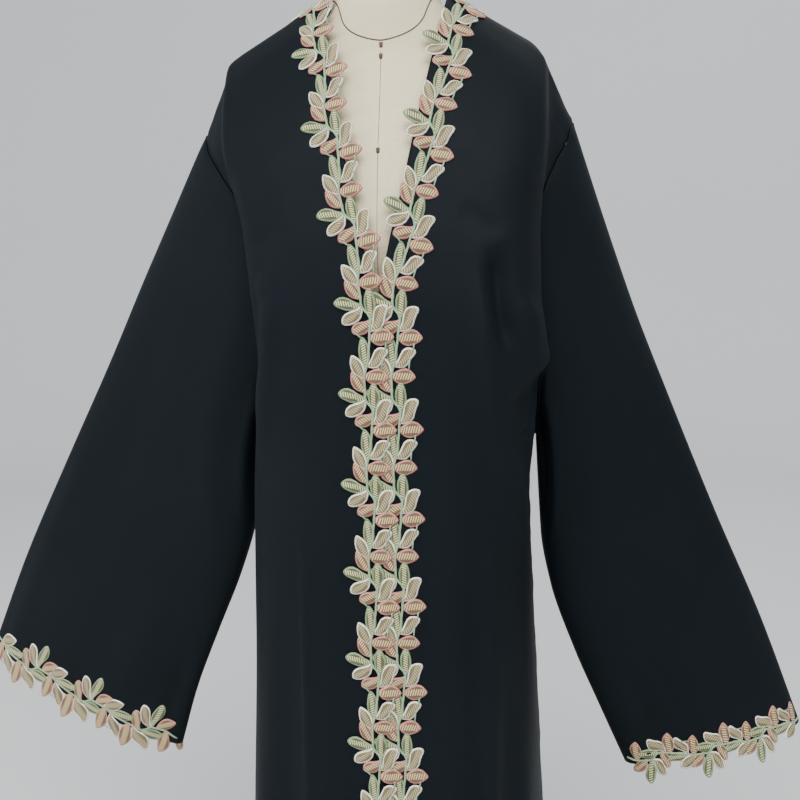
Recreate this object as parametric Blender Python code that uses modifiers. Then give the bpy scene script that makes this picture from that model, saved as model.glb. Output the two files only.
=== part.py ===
"""Open-front abaya with leaf lace, worn by a limbless dress form on a round stand.

Metres, +Z up, front toward -Y.  The origin is the centre of the stand's underside.
Left and right are the wearer's: the wearer's left is +X.
"""
import math

import bmesh
import bpy
import numpy as np
from mathutils import Vector
from mathutils.bvhtree import BVHTree

# ---- driving sizes -------------------------------------------------------------------
CLOTH = 0.0018            # thickness of a cloth wall
LACE = 0.0012             # thickness of the lace
SEAM = 0.0020             # gap between two pieces' outer faces where they meet at an angle
LIFT = 0.0012             # gap between the lace and the cloth under it
CUFF_LIFT = 0.0020        # the same gap at the cuffs
NECK_LIFT = 0.0050        # the same gap where the lace rounds the neck
LIFT_RUN = 0.10           # length of lace over which one gap gives way to the other
REPEAT = 0.093            # length of one repeat of the leaf lace
LACE_SHIFT = -0.018       # where the first repeat of a front would begin, above the hem
LACE_START = 0.22         # repeats of it that are left off
LACE_END = 0.014          # bare cloth between the lace's end and the back's centre
CUFF_REPEATS = 7          # repeats round a cuff
FOLD_GAP = 0.18           # repeats of bare cloth at each fold of a cuff
STEM = 0.0012             # half width of the lace's stem
FRONT_INSET = {"right": 0.008, "left": 0.017}    # lace stem in from the front edge
NECK_INSET = 0.0195       # the same at the shoulder and round the neck
CUFF_INSET = 0.016        # lace stem in from the cuff's edge
MARGIN = 0.034            # how far the lace may reach past a cut edge
WALK = 0.004              # step of the walk over a surface to the side of a path
EASE = 0.014              # length over which a path's direction is averaged, each way
PATH_STEPS = 150          # steps of the lace's path up a front
NECK_STEPS = 30           # steps of the lace's path round half the neck

ARMHOLE_ROWS = 9          # mesh rows from the shoulder seam to the underarm
SKIRT_ROWS = 12           # mesh rows from the underarm to the hem
FRONT_PLACES = [0.0, 0.16, 0.30, 0.43, 0.52, 0.60, 0.68, 0.78, 0.89, 1.0]
NECK_COLUMNS = 3          # of the back, from the centre to each side neck point
SLEEVE_STATIONS = 12
SLEEVE_SIDES = 2 * ARMHOLE_ROWS
UNDERARM = 9              # table row at the underarm
MEETING = 7               # table row from which the fronts meet
MARGIN_END = 8            # table row down to which the lace reaches past the front's edge
HEM = 15                  # table row at the hem

ARMHOLE_REACH = 0.34      # share of a sleeve's length shaped by the armhole
ARMHOLE_POWER = 1.6       # how fast the armhole's shape gives way to the sleeve's
SLEEVE_EASE = 0.05        # share of the length over which its direction is averaged
STATION_POWER = 1.25      # stations lie closer together towards the armhole
UNDERARM_PUSH = 0.020     # sets how far a sleeve stands off the body beside the armhole
KNEE = 0.60               # share of a front row that lies on the chest
NECK_SHARE = 0.30         # share of the back's top edge that is neckline
NECK_ROWS = 3.0           # table rows over which the back takes up its upper edge
NECK_REACH = 0.50         # share of a row that lace can reach round the neck
FINE_ROWS = 12            # rows of the finer guide that lace follows there
FINE_COLUMNS = 20
FOLD_RISE = 0.25          # share of a fold's length over which it rises from flat
FOLD_FALL = 0.30          # and over which it dies out, unless it runs to the hem
SEAM_FADE = 0.14          # share of a row, next to a seam, where the folds die out
NECK_CENTRE = (0.0, 0.010)
NECK_SLOPE = (28.0, 55.0)    # rise of the cloth to the neck, at its sides and its back
NECK_CURVE = 0.9          # fullness of the back neckline
NEAR = 0.03               # a small share of a row or a length, to take a direction from

# One row a level, from the shoulder seam to the hem, for the wearer's left front.
# edge: front edge; knee: corner of the chest or skirt; seam: armhole, then side seam;
# round: half width of the rounding at the knee, as a share of the row.
FRONT = [
    # edge_x  edge_y  edge_z  knee_x  knee_y  knee_z  seam_x  seam_y  seam_z  round
    (0.0680,  0.006, 1.474,   0.176,  0.010, 1.419,   0.211,  0.016, 1.337,   0.16),
    (0.0675, -0.010, 1.470,   0.177, -0.006, 1.413,   0.209,  0.004, 1.330,   0.18),
    (0.0640, -0.034, 1.450,   0.175, -0.030, 1.390,   0.202, -0.010, 1.314,   0.22),
    (0.0530, -0.068, 1.394,   0.171, -0.070, 1.336,   0.182, -0.030, 1.286,   0.28),
    (0.0400, -0.095, 1.332,   0.165, -0.096, 1.286,   0.162, -0.040, 1.251,   0.30),
    (0.0270, -0.114, 1.268,   0.160, -0.112, 1.232,   0.152, -0.042, 1.203,   0.32),
    (0.0130, -0.127, 1.207,   0.157, -0.122, 1.176,   0.148, -0.038, 1.150,   0.34),
    (0.0032, -0.132, 1.152,   0.156, -0.125, 1.116,   0.149, -0.028, 1.092,   0.36),
    (0.0018, -0.132, 1.080,   0.157, -0.123, 1.052,   0.154, -0.004, 1.036,   0.38),
    (0.0018, -0.131, 1.000,   0.161, -0.119, 0.993,   0.161,  0.030, 0.990,   0.40),
    (0.0018, -0.130, 0.920,   0.164, -0.119, 0.918,   0.163,  0.030, 0.916,   0.40),
    (0.0018, -0.130, 0.800,   0.167, -0.121, 0.799,   0.166,  0.028, 0.798,   0.40),
    (0.0018, -0.133, 0.600,   0.172, -0.126, 0.600,   0.170,  0.026, 0.600,   0.40),
    (0.0018, -0.138, 0.400,   0.184, -0.132, 0.400,   0.180,  0.024, 0.400,   0.40),
    (0.0018, -0.145, 0.200,   0.198, -0.140, 0.200,   0.192,  0.022, 0.200,   0.40),
    (0.0018, -0.150, 0.050,   0.206, -0.146, 0.050,   0.200,  0.020, 0.050,   0.40),
]
HEM_HEIGHT = FRONT[HEM][2] + 0.001    # a fold that ends below this runs to the hem

# The back, level by level: centre back, knee of the shoulder blade, armhole or side seam.
BACK = [
    # mid_y  mid_z   knee_x  knee_y  knee_z  seam_x  seam_y  seam_z  round
    (0.082, 1.462,   0.165,  0.040, 1.424,   0.211,  0.0172, 1.337,  0.20),
    (0.085, 1.453,   0.167,  0.056, 1.412,   0.209,  0.028, 1.331,   0.20),
    (0.089, 1.436,   0.170,  0.078, 1.388,   0.203,  0.046, 1.316,   0.24),
    (0.097, 1.398,   0.175,  0.094, 1.338,   0.188,  0.067, 1.288,   0.28),
    (0.104, 1.350,   0.172,  0.108, 1.290,   0.174,  0.082, 1.252,   0.32),
    (0.108, 1.295,   0.168,  0.114, 1.238,   0.165,  0.090, 1.204,   0.34),
    (0.110, 1.235,   0.166,  0.116, 1.180,   0.161,  0.090, 1.150,   0.36),
    (0.110, 1.165,   0.164,  0.116, 1.113,   0.158,  0.080, 1.092,   0.36),
    (0.109, 1.082,   0.164,  0.116, 1.050,   0.159,  0.058, 1.036,   0.38),
    (0.108, 1.000,   0.164,  0.116, 0.993,   0.161,  0.0312, 0.990,  0.40),
    (0.108, 0.920,   0.166,  0.118, 0.918,   0.163,  0.0312, 0.916,  0.40),
    (0.110, 0.800,   0.169,  0.120, 0.799,   0.166,  0.0292, 0.798,  0.40),
    (0.114, 0.600,   0.175,  0.126, 0.600,   0.170,  0.0272, 0.600,  0.40),
    (0.120, 0.400,   0.187,  0.134, 0.400,   0.180,  0.0252, 0.400,  0.40),
    (0.128, 0.200,   0.201,  0.142, 0.200,   0.192,  0.0232, 0.200,  0.40),
    (0.134, 0.050,   0.209,  0.148, 0.050,   0.200,  0.0212, 0.050,  0.40),
]

# How much further out the chest and the seams stand on each side, level by level.
SPREAD = [
    # front_right front_left back_right back_left
    (0.000, -0.011, 0.000, -0.011),
    (0.000, -0.011, 0.000, -0.011),
    (0.000, -0.010, 0.000, -0.010),
    (0.000, -0.005, 0.000, -0.006),
    (-0.004, 0.002, -0.002, -0.002),
    (-0.006, 0.008, -0.004, 0.000),
    (-0.006, 0.014, -0.004, 0.001),
    (-0.005, 0.015, -0.003, 0.001),
    (-0.003, 0.008, -0.002, 0.000),
    (0.000, -0.001, 0.000, -0.001),
    (0.002, -0.008, 0.002, -0.008),
    (0.002, -0.006, 0.002, -0.006),
    (0.002, -0.001, 0.002, -0.001),
    (0.000, 0.000, 0.000, 0.000),
    (0.000, 0.000, 0.000, 0.000),
    (0.000, 0.000, 0.000, 0.000),
]

# Sleeves from the armhole to the cuff: upper fold line, lower fold line, and how far the
# front and back layers stand off the plane between them.  The first row is the armhole.
SLEEVE = {
    "right": [
        # over_x  over_y  over_z  under_x  under_y  under_z  front   back
        (-0.211, 0.016, 1.337,   -0.161, 0.030, 0.990,    0.060, 0.060),
        (-0.256, 0.036, 1.262,   -0.172, 0.042, 0.932,    0.050, 0.042),
        (-0.311, 0.058, 1.174,   -0.187, 0.056, 0.868,    0.040, 0.034),
        (-0.372, 0.081, 1.072,   -0.212, 0.070, 0.800,    0.032, 0.028),
        (-0.455, 0.109, 0.936,   -0.251, 0.087, 0.715,    0.027, 0.025),
        (-0.535, 0.135, 0.800,   -0.290, 0.103, 0.626,    0.025, 0.024),
        (-0.608, 0.160, 0.659,   -0.322, 0.120, 0.535,    0.026, 0.026),
    ],
    "left": [
        (0.200, 0.016, 1.337,    0.160, 0.030, 0.990,    0.060, 0.060),
        (0.233, 0.032, 1.238,    0.169, 0.040, 0.932,    0.052, 0.046),
        (0.271, 0.049, 1.139,    0.171, 0.050, 0.868,    0.042, 0.036),
        (0.317, 0.066, 1.030,    0.183, 0.058, 0.800,    0.034, 0.028),
        (0.379, 0.089, 0.887,    0.212, 0.068, 0.715,    0.029, 0.025),
        (0.444, 0.110, 0.744,    0.246, 0.078, 0.634,    0.028, 0.024),
        (0.502, 0.130, 0.599,    0.280, 0.088, 0.555,    0.030, 0.026),
    ],
}

# Folds of the fronts and back, in world x and z: a positive depth stands out.
FOLDS = {
    "front_right": [
        # top_x  top_z   low_x  low_z  width   depth
        (-0.112, 1.190, -0.132, 0.980, 0.014,  0.006),
        (-0.100, 0.960, -0.112, 0.050, 0.020, -0.009),
        (-0.064, 0.700, -0.072, 0.050, 0.022,  0.006),
        (-0.150, 0.760, -0.158, 0.050, 0.022,  0.007),
    ],
    "front_left": [
        (0.104, 1.190, 0.150, 0.880, 0.016,  0.008),
        (0.132, 1.150, 0.146, 1.060, 0.014, -0.006),
        (0.104, 0.930, 0.108, 0.050, 0.018, -0.007),
        (0.140, 0.800, 0.146, 0.050, 0.018, -0.008),
        (0.060, 0.620, 0.068, 0.050, 0.024,  0.006),
    ],
    "back": [
        (-0.115, 1.240, -0.130, 0.050, 0.024, -0.010),
        (-0.060, 1.020, -0.075, 0.050, 0.026,  0.009),
        (-0.012, 0.900, -0.014, 0.050, 0.022, -0.010),
        (0.045, 1.060, 0.058, 0.050, 0.024,  0.008),
        (0.108, 1.250, 0.128, 0.050, 0.024, -0.011),
    ],
}

# Leaves of one lace repeat.  side: +1 is left of the growth, -1 right; base_from and
# base_to: the stretch of stem it grows from; turn: degrees away from the growth;
# long and wide: shares of the repeat.  shape: kite, or blade for one along the stem.
LEAVES = [
    # side base_from base_to turn   long   wide   shape
    (1,    0.000,   0.040,   74.0,  0.270, 0.100, "kite"),
    (1,    0.040,   0.090,   33.0,  0.225, 0.095, "kite"),
    (1,    0.200,   0.250,   30.0,  0.245, 0.095, "kite"),
    (1,    0.290,   0.340,   9.0,   0.290, 0.080, "blade"),
    (1,    0.800,   0.845,   112.0, 0.200, 0.100, "kite"),
    (1,    0.960,   1.000,   131.0, 0.235, 0.095, "kite"),
    (-1,   0.200,   0.250,   96.0,  0.237, 0.110, "kite"),
    (-1,   0.310,   0.360,   55.0,  0.250, 0.095, "kite"),
    (-1,   0.610,   0.660,   93.0,  0.240, 0.120, "kite"),
    (-1,   0.690,   0.740,   41.0,  0.285, 0.105, "kite"),
    (-1,   0.845,   0.895,   8.0,   0.270, 0.080, "blade"),
]
STEM_BENDS = [0.55]       # one more station on the left side, where the stem curves
# How far the stem swings off its line, as shares of the repeat (+ is right).
STEM_SWING = [
    # along  aside
    (0.00, -0.038), (0.22, -0.041), (0.45, 0.008), (0.65, 0.030), (0.86, 0.050),
]

# The form, level by level: half width, front and back depth, squareness of the section.
FORM = [
    # z      half_x  front   back   square
    (0.850, 0.130, -0.078, 0.078, 2.2),
    (0.862, 0.138, -0.086, 0.088, 2.2),
    (0.920, 0.139, -0.090, 0.094, 2.2),
    (1.000, 0.126, -0.082, 0.080, 2.1),
    (1.060, 0.118, -0.078, 0.072, 2.1),
    (1.130, 0.126, -0.098, 0.080, 2.1),
    (1.205, 0.132, -0.114, 0.090, 2.1),
    (1.290, 0.139, -0.098, 0.094, 2.1),
    (1.345, 0.150, -0.076, 0.088, 2.1),
    (1.385, 0.156, -0.062, 0.078, 1.9),
    (1.405, 0.151, -0.056, 0.070, 1.7),
    (1.420, 0.130, -0.052, 0.064, 1.5),
    (1.436, 0.097, -0.048, 0.060, 1.5),
    (1.450, 0.070, -0.045, 0.058, 1.7),
    (1.462, 0.060, -0.044, 0.058, 1.9),
    (1.476, 0.0575, -0.043, 0.058, 2.0),
    (1.530, 0.056, -0.043, 0.056, 2.0),
]
FORM_SIDES = 24
FORM_GAP = 0.0003

POLE_RADIUS = 0.016
CAP_HEIGHT = 0.022
CAP_RADIUS = 0.047
BASE_RADIUS = 0.190
BASE_HEIGHT = 0.026

BLACK = (0.012, 0.014, 0.018, 1.0)
LINEN = (0.76, 0.69, 0.54, 1.0)
THREAD = (0.62, 0.52, 0.40, 1.0)
STEEL = (0.30, 0.30, 0.31, 1.0)
WOOD = (0.16, 0.08, 0.04, 1.0)


# ---- small tools ---------------------------------------------------------------------
def ramp(x, half_width):
    """Zero, then a slope of one, with a parabola of the given half width between."""
    if x <= -half_width:
        return 0.0
    if x >= half_width:
        return x
    return (x + half_width) ** 2 / (4.0 * half_width)


def smooth(x):
    x = min(max(x, 0.0), 1.0)
    return x * x * (3.0 - 2.0 * x)


def slope_between(before, after):
    """A slope for a smooth curve that never runs past its rows."""
    product = before * after
    total = np.where(product > 0.0, before + after, 1.0)
    return np.where(product > 0.0, 2.0 * product / total, 0.0)


def level(table, v):
    """Row of a table at a fractional place, smooth from row to row."""
    rows = np.asarray(table, dtype=float)
    last = len(rows) - 1
    v = min(max(v, 0.0), float(last))
    i = min(int(v), last - 1)
    t = v - i
    p1 = rows[i]
    p2 = rows[i + 1]
    step = p2 - p1
    m1 = slope_between(p1 - rows[i - 1], step) if i > 0 else step
    m2 = slope_between(step, rows[i + 2] - p2) if i + 2 <= last else step
    t2 = t * t
    t3 = t2 * t
    return (2 * t3 - 3 * t2 + 1) * p1 + (t3 - 2 * t2 + t) * m1 + (3 * t2 - 2 * t3) * p2 + (t3 - t2) * m2


def bent_line(a, b, c, knee, half_width, u):
    """From a by way of b to c, rounded at b; b is reached at u = knee."""
    first = (b - a) / knee
    second = (c - b) / (1.0 - knee)
    return a + first * u + (second - first) * ramp(u - knee, half_width)


def unit(vector):
    return vector / np.linalg.norm(vector)


def fold_depth(folds, x, z):
    total = 0.0
    for top_x, top_z, low_x, low_z, width, depth in folds:
        along = (top_z - z) / (top_z - low_z)
        if along < 0.0:
            continue
        centre = top_x + (low_x - top_x) * along
        fade = smooth(along / FOLD_RISE)
        if low_z > HEM_HEIGHT:
            fade *= smooth((1.0 - along) / FOLD_FALL)
        total += depth * fade * math.exp(-((x - centre) / width) ** 2)
    return total



# ---- the surfaces of the cloth -------------------------------------------------------
def front_base(side, u, v):
    row = level(FRONT, v)
    spread = np.array([level(SPREAD, v)[1 if side > 0 else 0], 0.0, 0.0])
    point = bent_line(row[0:3], row[3:6] + spread, row[6:9] + spread, KNEE, row[9], u)
    return point * np.array([side, 1.0, 1.0])


def back_base(u, v):
    """u runs from -1 at the wearer's right seam over 0 at the centre back to 1."""
    across = abs(u)
    row = level(BACK, v)
    spread = np.array([level(SPREAD, v)[3 if u > 0 else 2], 0.0, 0.0])
    middle = np.array([0.0, row[0], row[1]])
    low = bent_line(middle, row[2:5] + spread, row[5:8] + spread, KNEE, row[8], across)
    if v < NECK_ROWS:
        low = low + (back_top(u) - low) * (1.0 - smooth(v / NECK_ROWS))
    return np.array([math.copysign(low[0], u), low[1], low[2]])


def back_top(u):
    """The back's upper edge: round the neck, then along the shoulder seam."""
    across = abs(u)
    shoulder = np.array(FRONT[0])
    shoulder[[3, 6]] += SPREAD[0][1 if u > 0 else 0]
    neck = shoulder[0:3]
    if across < NECK_SHARE:
        turn = math.pi / 2.0 * across / NECK_SHARE
        middle = np.array([0.0, BACK[0][0], BACK[0][1]])
        point = np.array([neck[0] * math.sin(turn) ** NECK_CURVE,
                          neck[1] + (middle[1] - neck[1]) * math.cos(turn) ** NECK_CURVE,
                          neck[2] + (middle[2] - neck[2]) * math.cos(turn)])
    else:
        along = (across - NECK_SHARE) / (1.0 - NECK_SHARE)
        point = bent_line(neck, shoulder[3:6], shoulder[6:9], KNEE, shoulder[9], along)
    point[1] += SEAM
    return point


def folded(base, folds, u, v):
    """A point of a surface moved out along its normal by the folds."""
    step = 0.004
    here = base(u, v)
    across = base(u + step, v) - base(u - step, v)
    down = base(u, min(v + step, HEM)) - base(u, max(v - step, 0.0))
    normal = unit(np.cross(down, across))
    depth = fold_depth(folds, here[0], here[2]) * smooth((1.0 - abs(u)) / SEAM_FADE)
    return here + normal * depth, normal


def front_point(side, u, v):
    name = "front_left" if side > 0 else "front_right"
    point, normal = folded(lambda a, b: front_base(side, a, b), FOLDS[name], u, v)
    return point, normal * side


def back_point(u, v):
    point, normal = folded(back_base, FOLDS["back"], u, v)
    return point, -normal


def sleeve_point(side_name, turn, along):
    """turn: 0 at the upper fold, half at the lower one by way of the front, then back."""
    rows = SLEEVE[side_name]
    row = level(rows, along * (len(rows) - 1))
    over, under = row[0:3], row[3:6]
    ahead = level(rows, min(along + SLEEVE_EASE, 1.0) * (len(rows) - 1))
    behind = level(rows, max(along - SLEEVE_EASE, 0.0) * (len(rows) - 1))
    run = unit((ahead[0:3] + ahead[3:6]) - (behind[0:3] + behind[3:6]))
    forward = unit(np.cross(over - under, run))
    if forward[1] > 0.0:
        forward = -forward
    angle = 2.0 * math.pi * turn
    stand = row[6] if turn <= 0.5 else row[7]
    centre = (over + under) / 2.0
    point = centre + (over - under) / 2.0 * math.cos(angle) + forward * stand * math.sin(angle)
    near = 1.0 - along / ARMHOLE_REACH
    if near > 0.0:
        point = point + (armhole_point(side_name, turn) - point) * near ** ARMHOLE_POWER
        point[0] += math.copysign(UNDERARM_PUSH, over[0]) * (1.0 - near) ** 0.5 * near ** 4
    return point


def armhole_level(turn):
    """The table place whose seam is as far down the armhole as a turn round an oval."""
    heights = [row[8] for row in FRONT[:UNDERARM + 1]]
    share = (1.0 - math.cos(2.0 * math.pi * turn)) / 2.0
    height = heights[0] + (heights[-1] - heights[0]) * share
    return float(np.interp(-height, [-z for z in heights], range(UNDERARM + 1)))


def armhole_point(side_name, turn):
    """The armhole seam, front half from the shoulder to the underarm, then back up."""
    side = 1 if side_name == "left" else -1
    if turn <= 0.5:
        return front_point(side, 1.0, armhole_level(turn))[0]
    return back_point(float(side), armhole_level(turn))[0]


# ---- scene ---------------------------------------------------------------------------
def clear_scene():
    for item in list(bpy.data.objects):
        bpy.data.objects.remove(item, do_unlink=True)


def make_material(name, colour, roughness, metallic=0.0):
    material = bpy.data.materials.new(name)
    material.use_nodes = True
    shader = material.node_tree.nodes["Principled BSDF"]
    shader.inputs["Base Color"].default_value = colour
    shader.inputs["Roughness"].default_value = roughness
    shader.inputs["Metallic"].default_value = metallic
    material.diffuse_color = colour
    return material


def add_object(name, mesh, material, collection):
    item = bpy.data.objects.new(name, mesh)
    mesh.materials.append(material)
    mesh.shade_smooth()
    collection.objects.link(item)
    return item


def mesh_of(name, points, faces, outward):
    """An open mesh whose first face is turned so that it looks along outward."""
    mesh = bpy.data.meshes.new(name)
    mesh.from_pydata([tuple(point) for point in points], [], faces)
    shape = bmesh.new()
    shape.from_mesh(mesh)
    bmesh.ops.recalc_face_normals(shape, faces=shape.faces)
    shape.faces.ensure_lookup_table()
    if shape.faces[0].normal.dot(Vector(outward)) < 0.0:
        bmesh.ops.reverse_faces(shape, faces=shape.faces)
    shape.to_mesh(mesh)
    shape.free()
    return mesh


def add_wall(name, points, faces, outward, thickness, offset, material, collection):
    item = add_object(name, mesh_of(name, points, faces, outward), material, collection)
    wall = item.modifiers.new("wall", "SOLIDIFY")
    wall.thickness = thickness
    wall.offset = offset
    return item


def grid_faces(rows, columns, closed=False):
    width = columns if closed else columns + 1
    faces = []
    for i in range(rows):
        for j in range(columns):
            k = (j + 1) % width
            a, b = i * width + j, i * width + k
            c, d = b + width, a + width
            faces += [(a, b, c), (a, c, d)]
    return faces


def row_places():
    """Table places of the mesh rows: the sleeve's down the armhole, then even to the hem."""
    upper = [armhole_level(0.5 * i / ARMHOLE_ROWS) for i in range(ARMHOLE_ROWS)]
    skirt = [UNDERARM + (HEM - UNDERARM) * i / SKIRT_ROWS for i in range(SKIRT_ROWS + 1)]
    return upper + skirt


# ---- the garment ---------------------------------------------------------------------
def front_row(side, v):
    return [front_point(side, u, v)[0] for u in FRONT_PLACES]


def add_front(side, material, collection):
    name = "front_left" if side > 0 else "front_right"
    points = [point for v in row_places() for point in front_row(side, v)]
    faces = grid_faces(ARMHOLE_ROWS + SKIRT_ROWS, len(FRONT_PLACES) - 1)
    add_wall(name, points, faces, (0, -1, 1), CLOTH, -1.0, material, collection)


def back_columns():
    """Places across the back, which meet the fronts' own along the shoulder seam."""
    neck = [NECK_SHARE * i / NECK_COLUMNS for i in range(NECK_COLUMNS)]
    half = neck + [NECK_SHARE + (1.0 - NECK_SHARE) * u for u in FRONT_PLACES]
    return [-u for u in reversed(half[1:])] + half


def add_back(material, collection):
    places = back_columns()
    points = [back_point(u, v)[0] for v in row_places() for u in places]
    faces = grid_faces(ARMHOLE_ROWS + SKIRT_ROWS, len(places) - 1)
    add_wall("back", points, faces, (0, 1, 0), CLOTH, -1.0, material, collection)


def sleeve_ring(side_name, station):
    """The mesh points round a sleeve at one station, from the armhole to the cuff."""
    along = (station / SLEEVE_STATIONS) ** STATION_POWER
    ring = [sleeve_point(side_name, j / SLEEVE_SIDES, along) for j in range(SLEEVE_SIDES)]
    if station > 0:
        return ring
    outward = np.array([math.copysign(SEAM, SLEEVE[side_name][0][0]), 0.0, 0.0])
    onward = [sleeve_point(side_name, j / SLEEVE_SIDES, NEAR) for j in range(SLEEVE_SIDES)]
    return [point + (unit(ahead - point) * SEAM + outward) / 2.0
            for point, ahead in zip(ring, onward)]


def add_sleeve(side_name, material, collection):
    points = []
    for station in range(SLEEVE_STATIONS + 1):
        points += sleeve_ring(side_name, station)
    faces = grid_faces(SLEEVE_STATIONS, SLEEVE_SIDES, closed=True)
    add_wall("sleeve_" + side_name, points, faces, (0, 0, 1), CLOTH, -1.0, material, collection)


# ---- the lace ------------------------------------------------------------------------
def stem_aside(u):
    """Sideways swing of the stem at a place along one repeat."""
    u = u % 1.0
    table = STEM_SWING + [(1.0 + STEM_SWING[0][0], STEM_SWING[0][1])]
    for (u0, r0), (u1, r1) in zip(table, table[1:]):
        if u <= u1:
            return r0 + (r1 - r0) * smooth((u - u0) / (u1 - u0))
    return table[-1][1]


def flat_lace(start, end, repeat):
    """Lace in its own plane, from start to end in repeats: points (along, aside), faces.

    aside is positive to the left of the growth.
    """
    sides = {1: {start, end}, -1: {start, end}}
    leaves = []
    for number in range(math.floor(start), math.ceil(end)):
        for side, base_from, base_to, turn, long, wide, shape in LEAVES:
            u0, u1 = number + base_from, number + base_to
            tip = (u0 + u1) / 2.0 + long * math.cos(math.radians(turn))
            if min(u0, tip) < start or max(u1, tip) > end:
                continue
            sides[side].update((u0, u1))
            leaves.append((side, u0, u1, turn, long, wide, shape))
        for bend in STEM_BENDS:
            if start < number + bend < end:
                sides[1].add(number + bend)
    points = []
    place = {}
    for side in (1, -1):
        for u in sorted(sides[side]):
            place[side, u] = len(points)
            points.append((u * repeat, -stem_aside(u) * repeat + side * STEM))
    faces = zip_sides(sorted(sides[1]), sorted(sides[-1]), place)
    for side, u0, u1, turn, long, wide, shape in leaves:
        faces += add_leaf(points, place, side, u0, u1, turn, long * repeat, wide * repeat, shape)
    return points, faces


def zip_sides(left, right, place):
    """Triangles between the stem's two sides."""
    faces = []
    i = j = 0
    while i < len(left) - 1 or j < len(right) - 1:
        go_left = j == len(right) - 1 or (i < len(left) - 1 and left[i + 1] <= right[j + 1])
        if go_left:
            faces.append((place[1, left[i]], place[-1, right[j]], place[1, left[i + 1]]))
            i += 1
        else:
            faces.append((place[1, left[i]], place[-1, right[j]], place[-1, right[j + 1]]))
            j += 1
    return faces


def add_leaf(points, place, side, u0, u1, turn, long, wide, shape):
    first, last = place[side, u0], place[side, u1]
    a, b = np.array(points[first]), np.array(points[last])
    angle = math.radians(turn) * side
    axis = np.array([math.cos(angle), math.sin(angle)])
    out = np.array([-axis[1], axis[0]]) * side
    root = (a + b) / 2.0
    tip = root + axis * long
    outer = root + axis * long * 0.48 + out * wide / 2.0
    inner = root + axis * long * 0.52 - out * wide / 2.0
    index = len(points)
    points += [tuple(outer), tuple(tip)]
    faces = [(first, index, index + 1), (first, index + 1, last)]
    if shape == "kite":
        points.append(tuple(inner))
        faces.append((last, index + 1, index + 2))
    return faces


class Guide:
    """A surface to lay lace on, with a path across it."""

    def __init__(self, points, faces, path, outward):
        self.tree = BVHTree.FromPolygons([tuple(p) for p in points], faces)
        self.outward = outward
        self.path = np.array([self.on_surface(point)[0] for point in path])
        steps = np.linalg.norm(np.diff(self.path, axis=0), axis=1)
        self.run = np.concatenate([[0.0], np.cumsum(steps)])
        self.length = self.run[-1]

    def on_surface(self, point):
        place, normal, _, _ = self.tree.find_nearest(Vector(point))
        place, normal = np.array(place), np.array(normal)
        if normal.dot(self.outward(place)) < 0.0:
            normal = -normal
        return place, normal

    def at(self, along):
        return np.array([np.interp(along, self.run, self.path[:, k]) for k in range(3)])

    def lay(self, along, aside, lift):
        """The point above the surface at a distance along and to the left of the path."""
        on_path = min(max(along, 0.0), self.length)
        ahead, behind = self.at(on_path + EASE), self.at(on_path - EASE)
        run = unit(ahead - behind)
        facing = self.on_surface(ahead)[1] + self.on_surface(behind)[1]
        place, normal = self.on_surface(self.at(on_path) + run * (along - on_path))
        way = unit(np.cross(facing, run)) * math.copysign(1.0, aside)
        steps = max(1, math.ceil(abs(aside) / WALK))
        for _ in range(steps):
            onward, normal = self.on_surface(place + way * abs(aside) / steps)
            way = unit(onward - place)
            place = onward
        return place + normal * lift


def add_lace(name, guide, start, end, repeat, from_length, lift, material, collection):
    flat, faces = flat_lace(start, end, repeat)
    points = []
    for along, aside in flat:
        here = along + from_length
        points.append(guide.lay(here, aside, lift(here)))
    middle = np.mean([points[k] for k in faces[0]], axis=0)
    outward = guide.on_surface(middle)[1]
    add_wall(name, points, faces, outward, LACE, 1.0, material, collection)


def neck_rise(point):
    """The way lace reaches past the back's neck edge: in and up, steeper at the back."""
    away = unit(np.array([point[0] - NECK_CENTRE[0], point[1] - NECK_CENTRE[1], 0.0]))
    steep = math.radians(NECK_SLOPE[0] + (NECK_SLOPE[1] - NECK_SLOPE[0]) * away[1] ** 2)
    return np.array([0.0, 0.0, math.sin(steep)]) - away * math.cos(steep)


def add_sheet(points, faces, rows):
    """Adds a grid of points, row by row, to the points and faces of a guide."""
    first = len(points)
    for row in rows:
        points += row
    faces += [tuple(first + k for k in face) for face in grid_faces(len(rows) - 1, len(rows[0]) - 1)]


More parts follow.
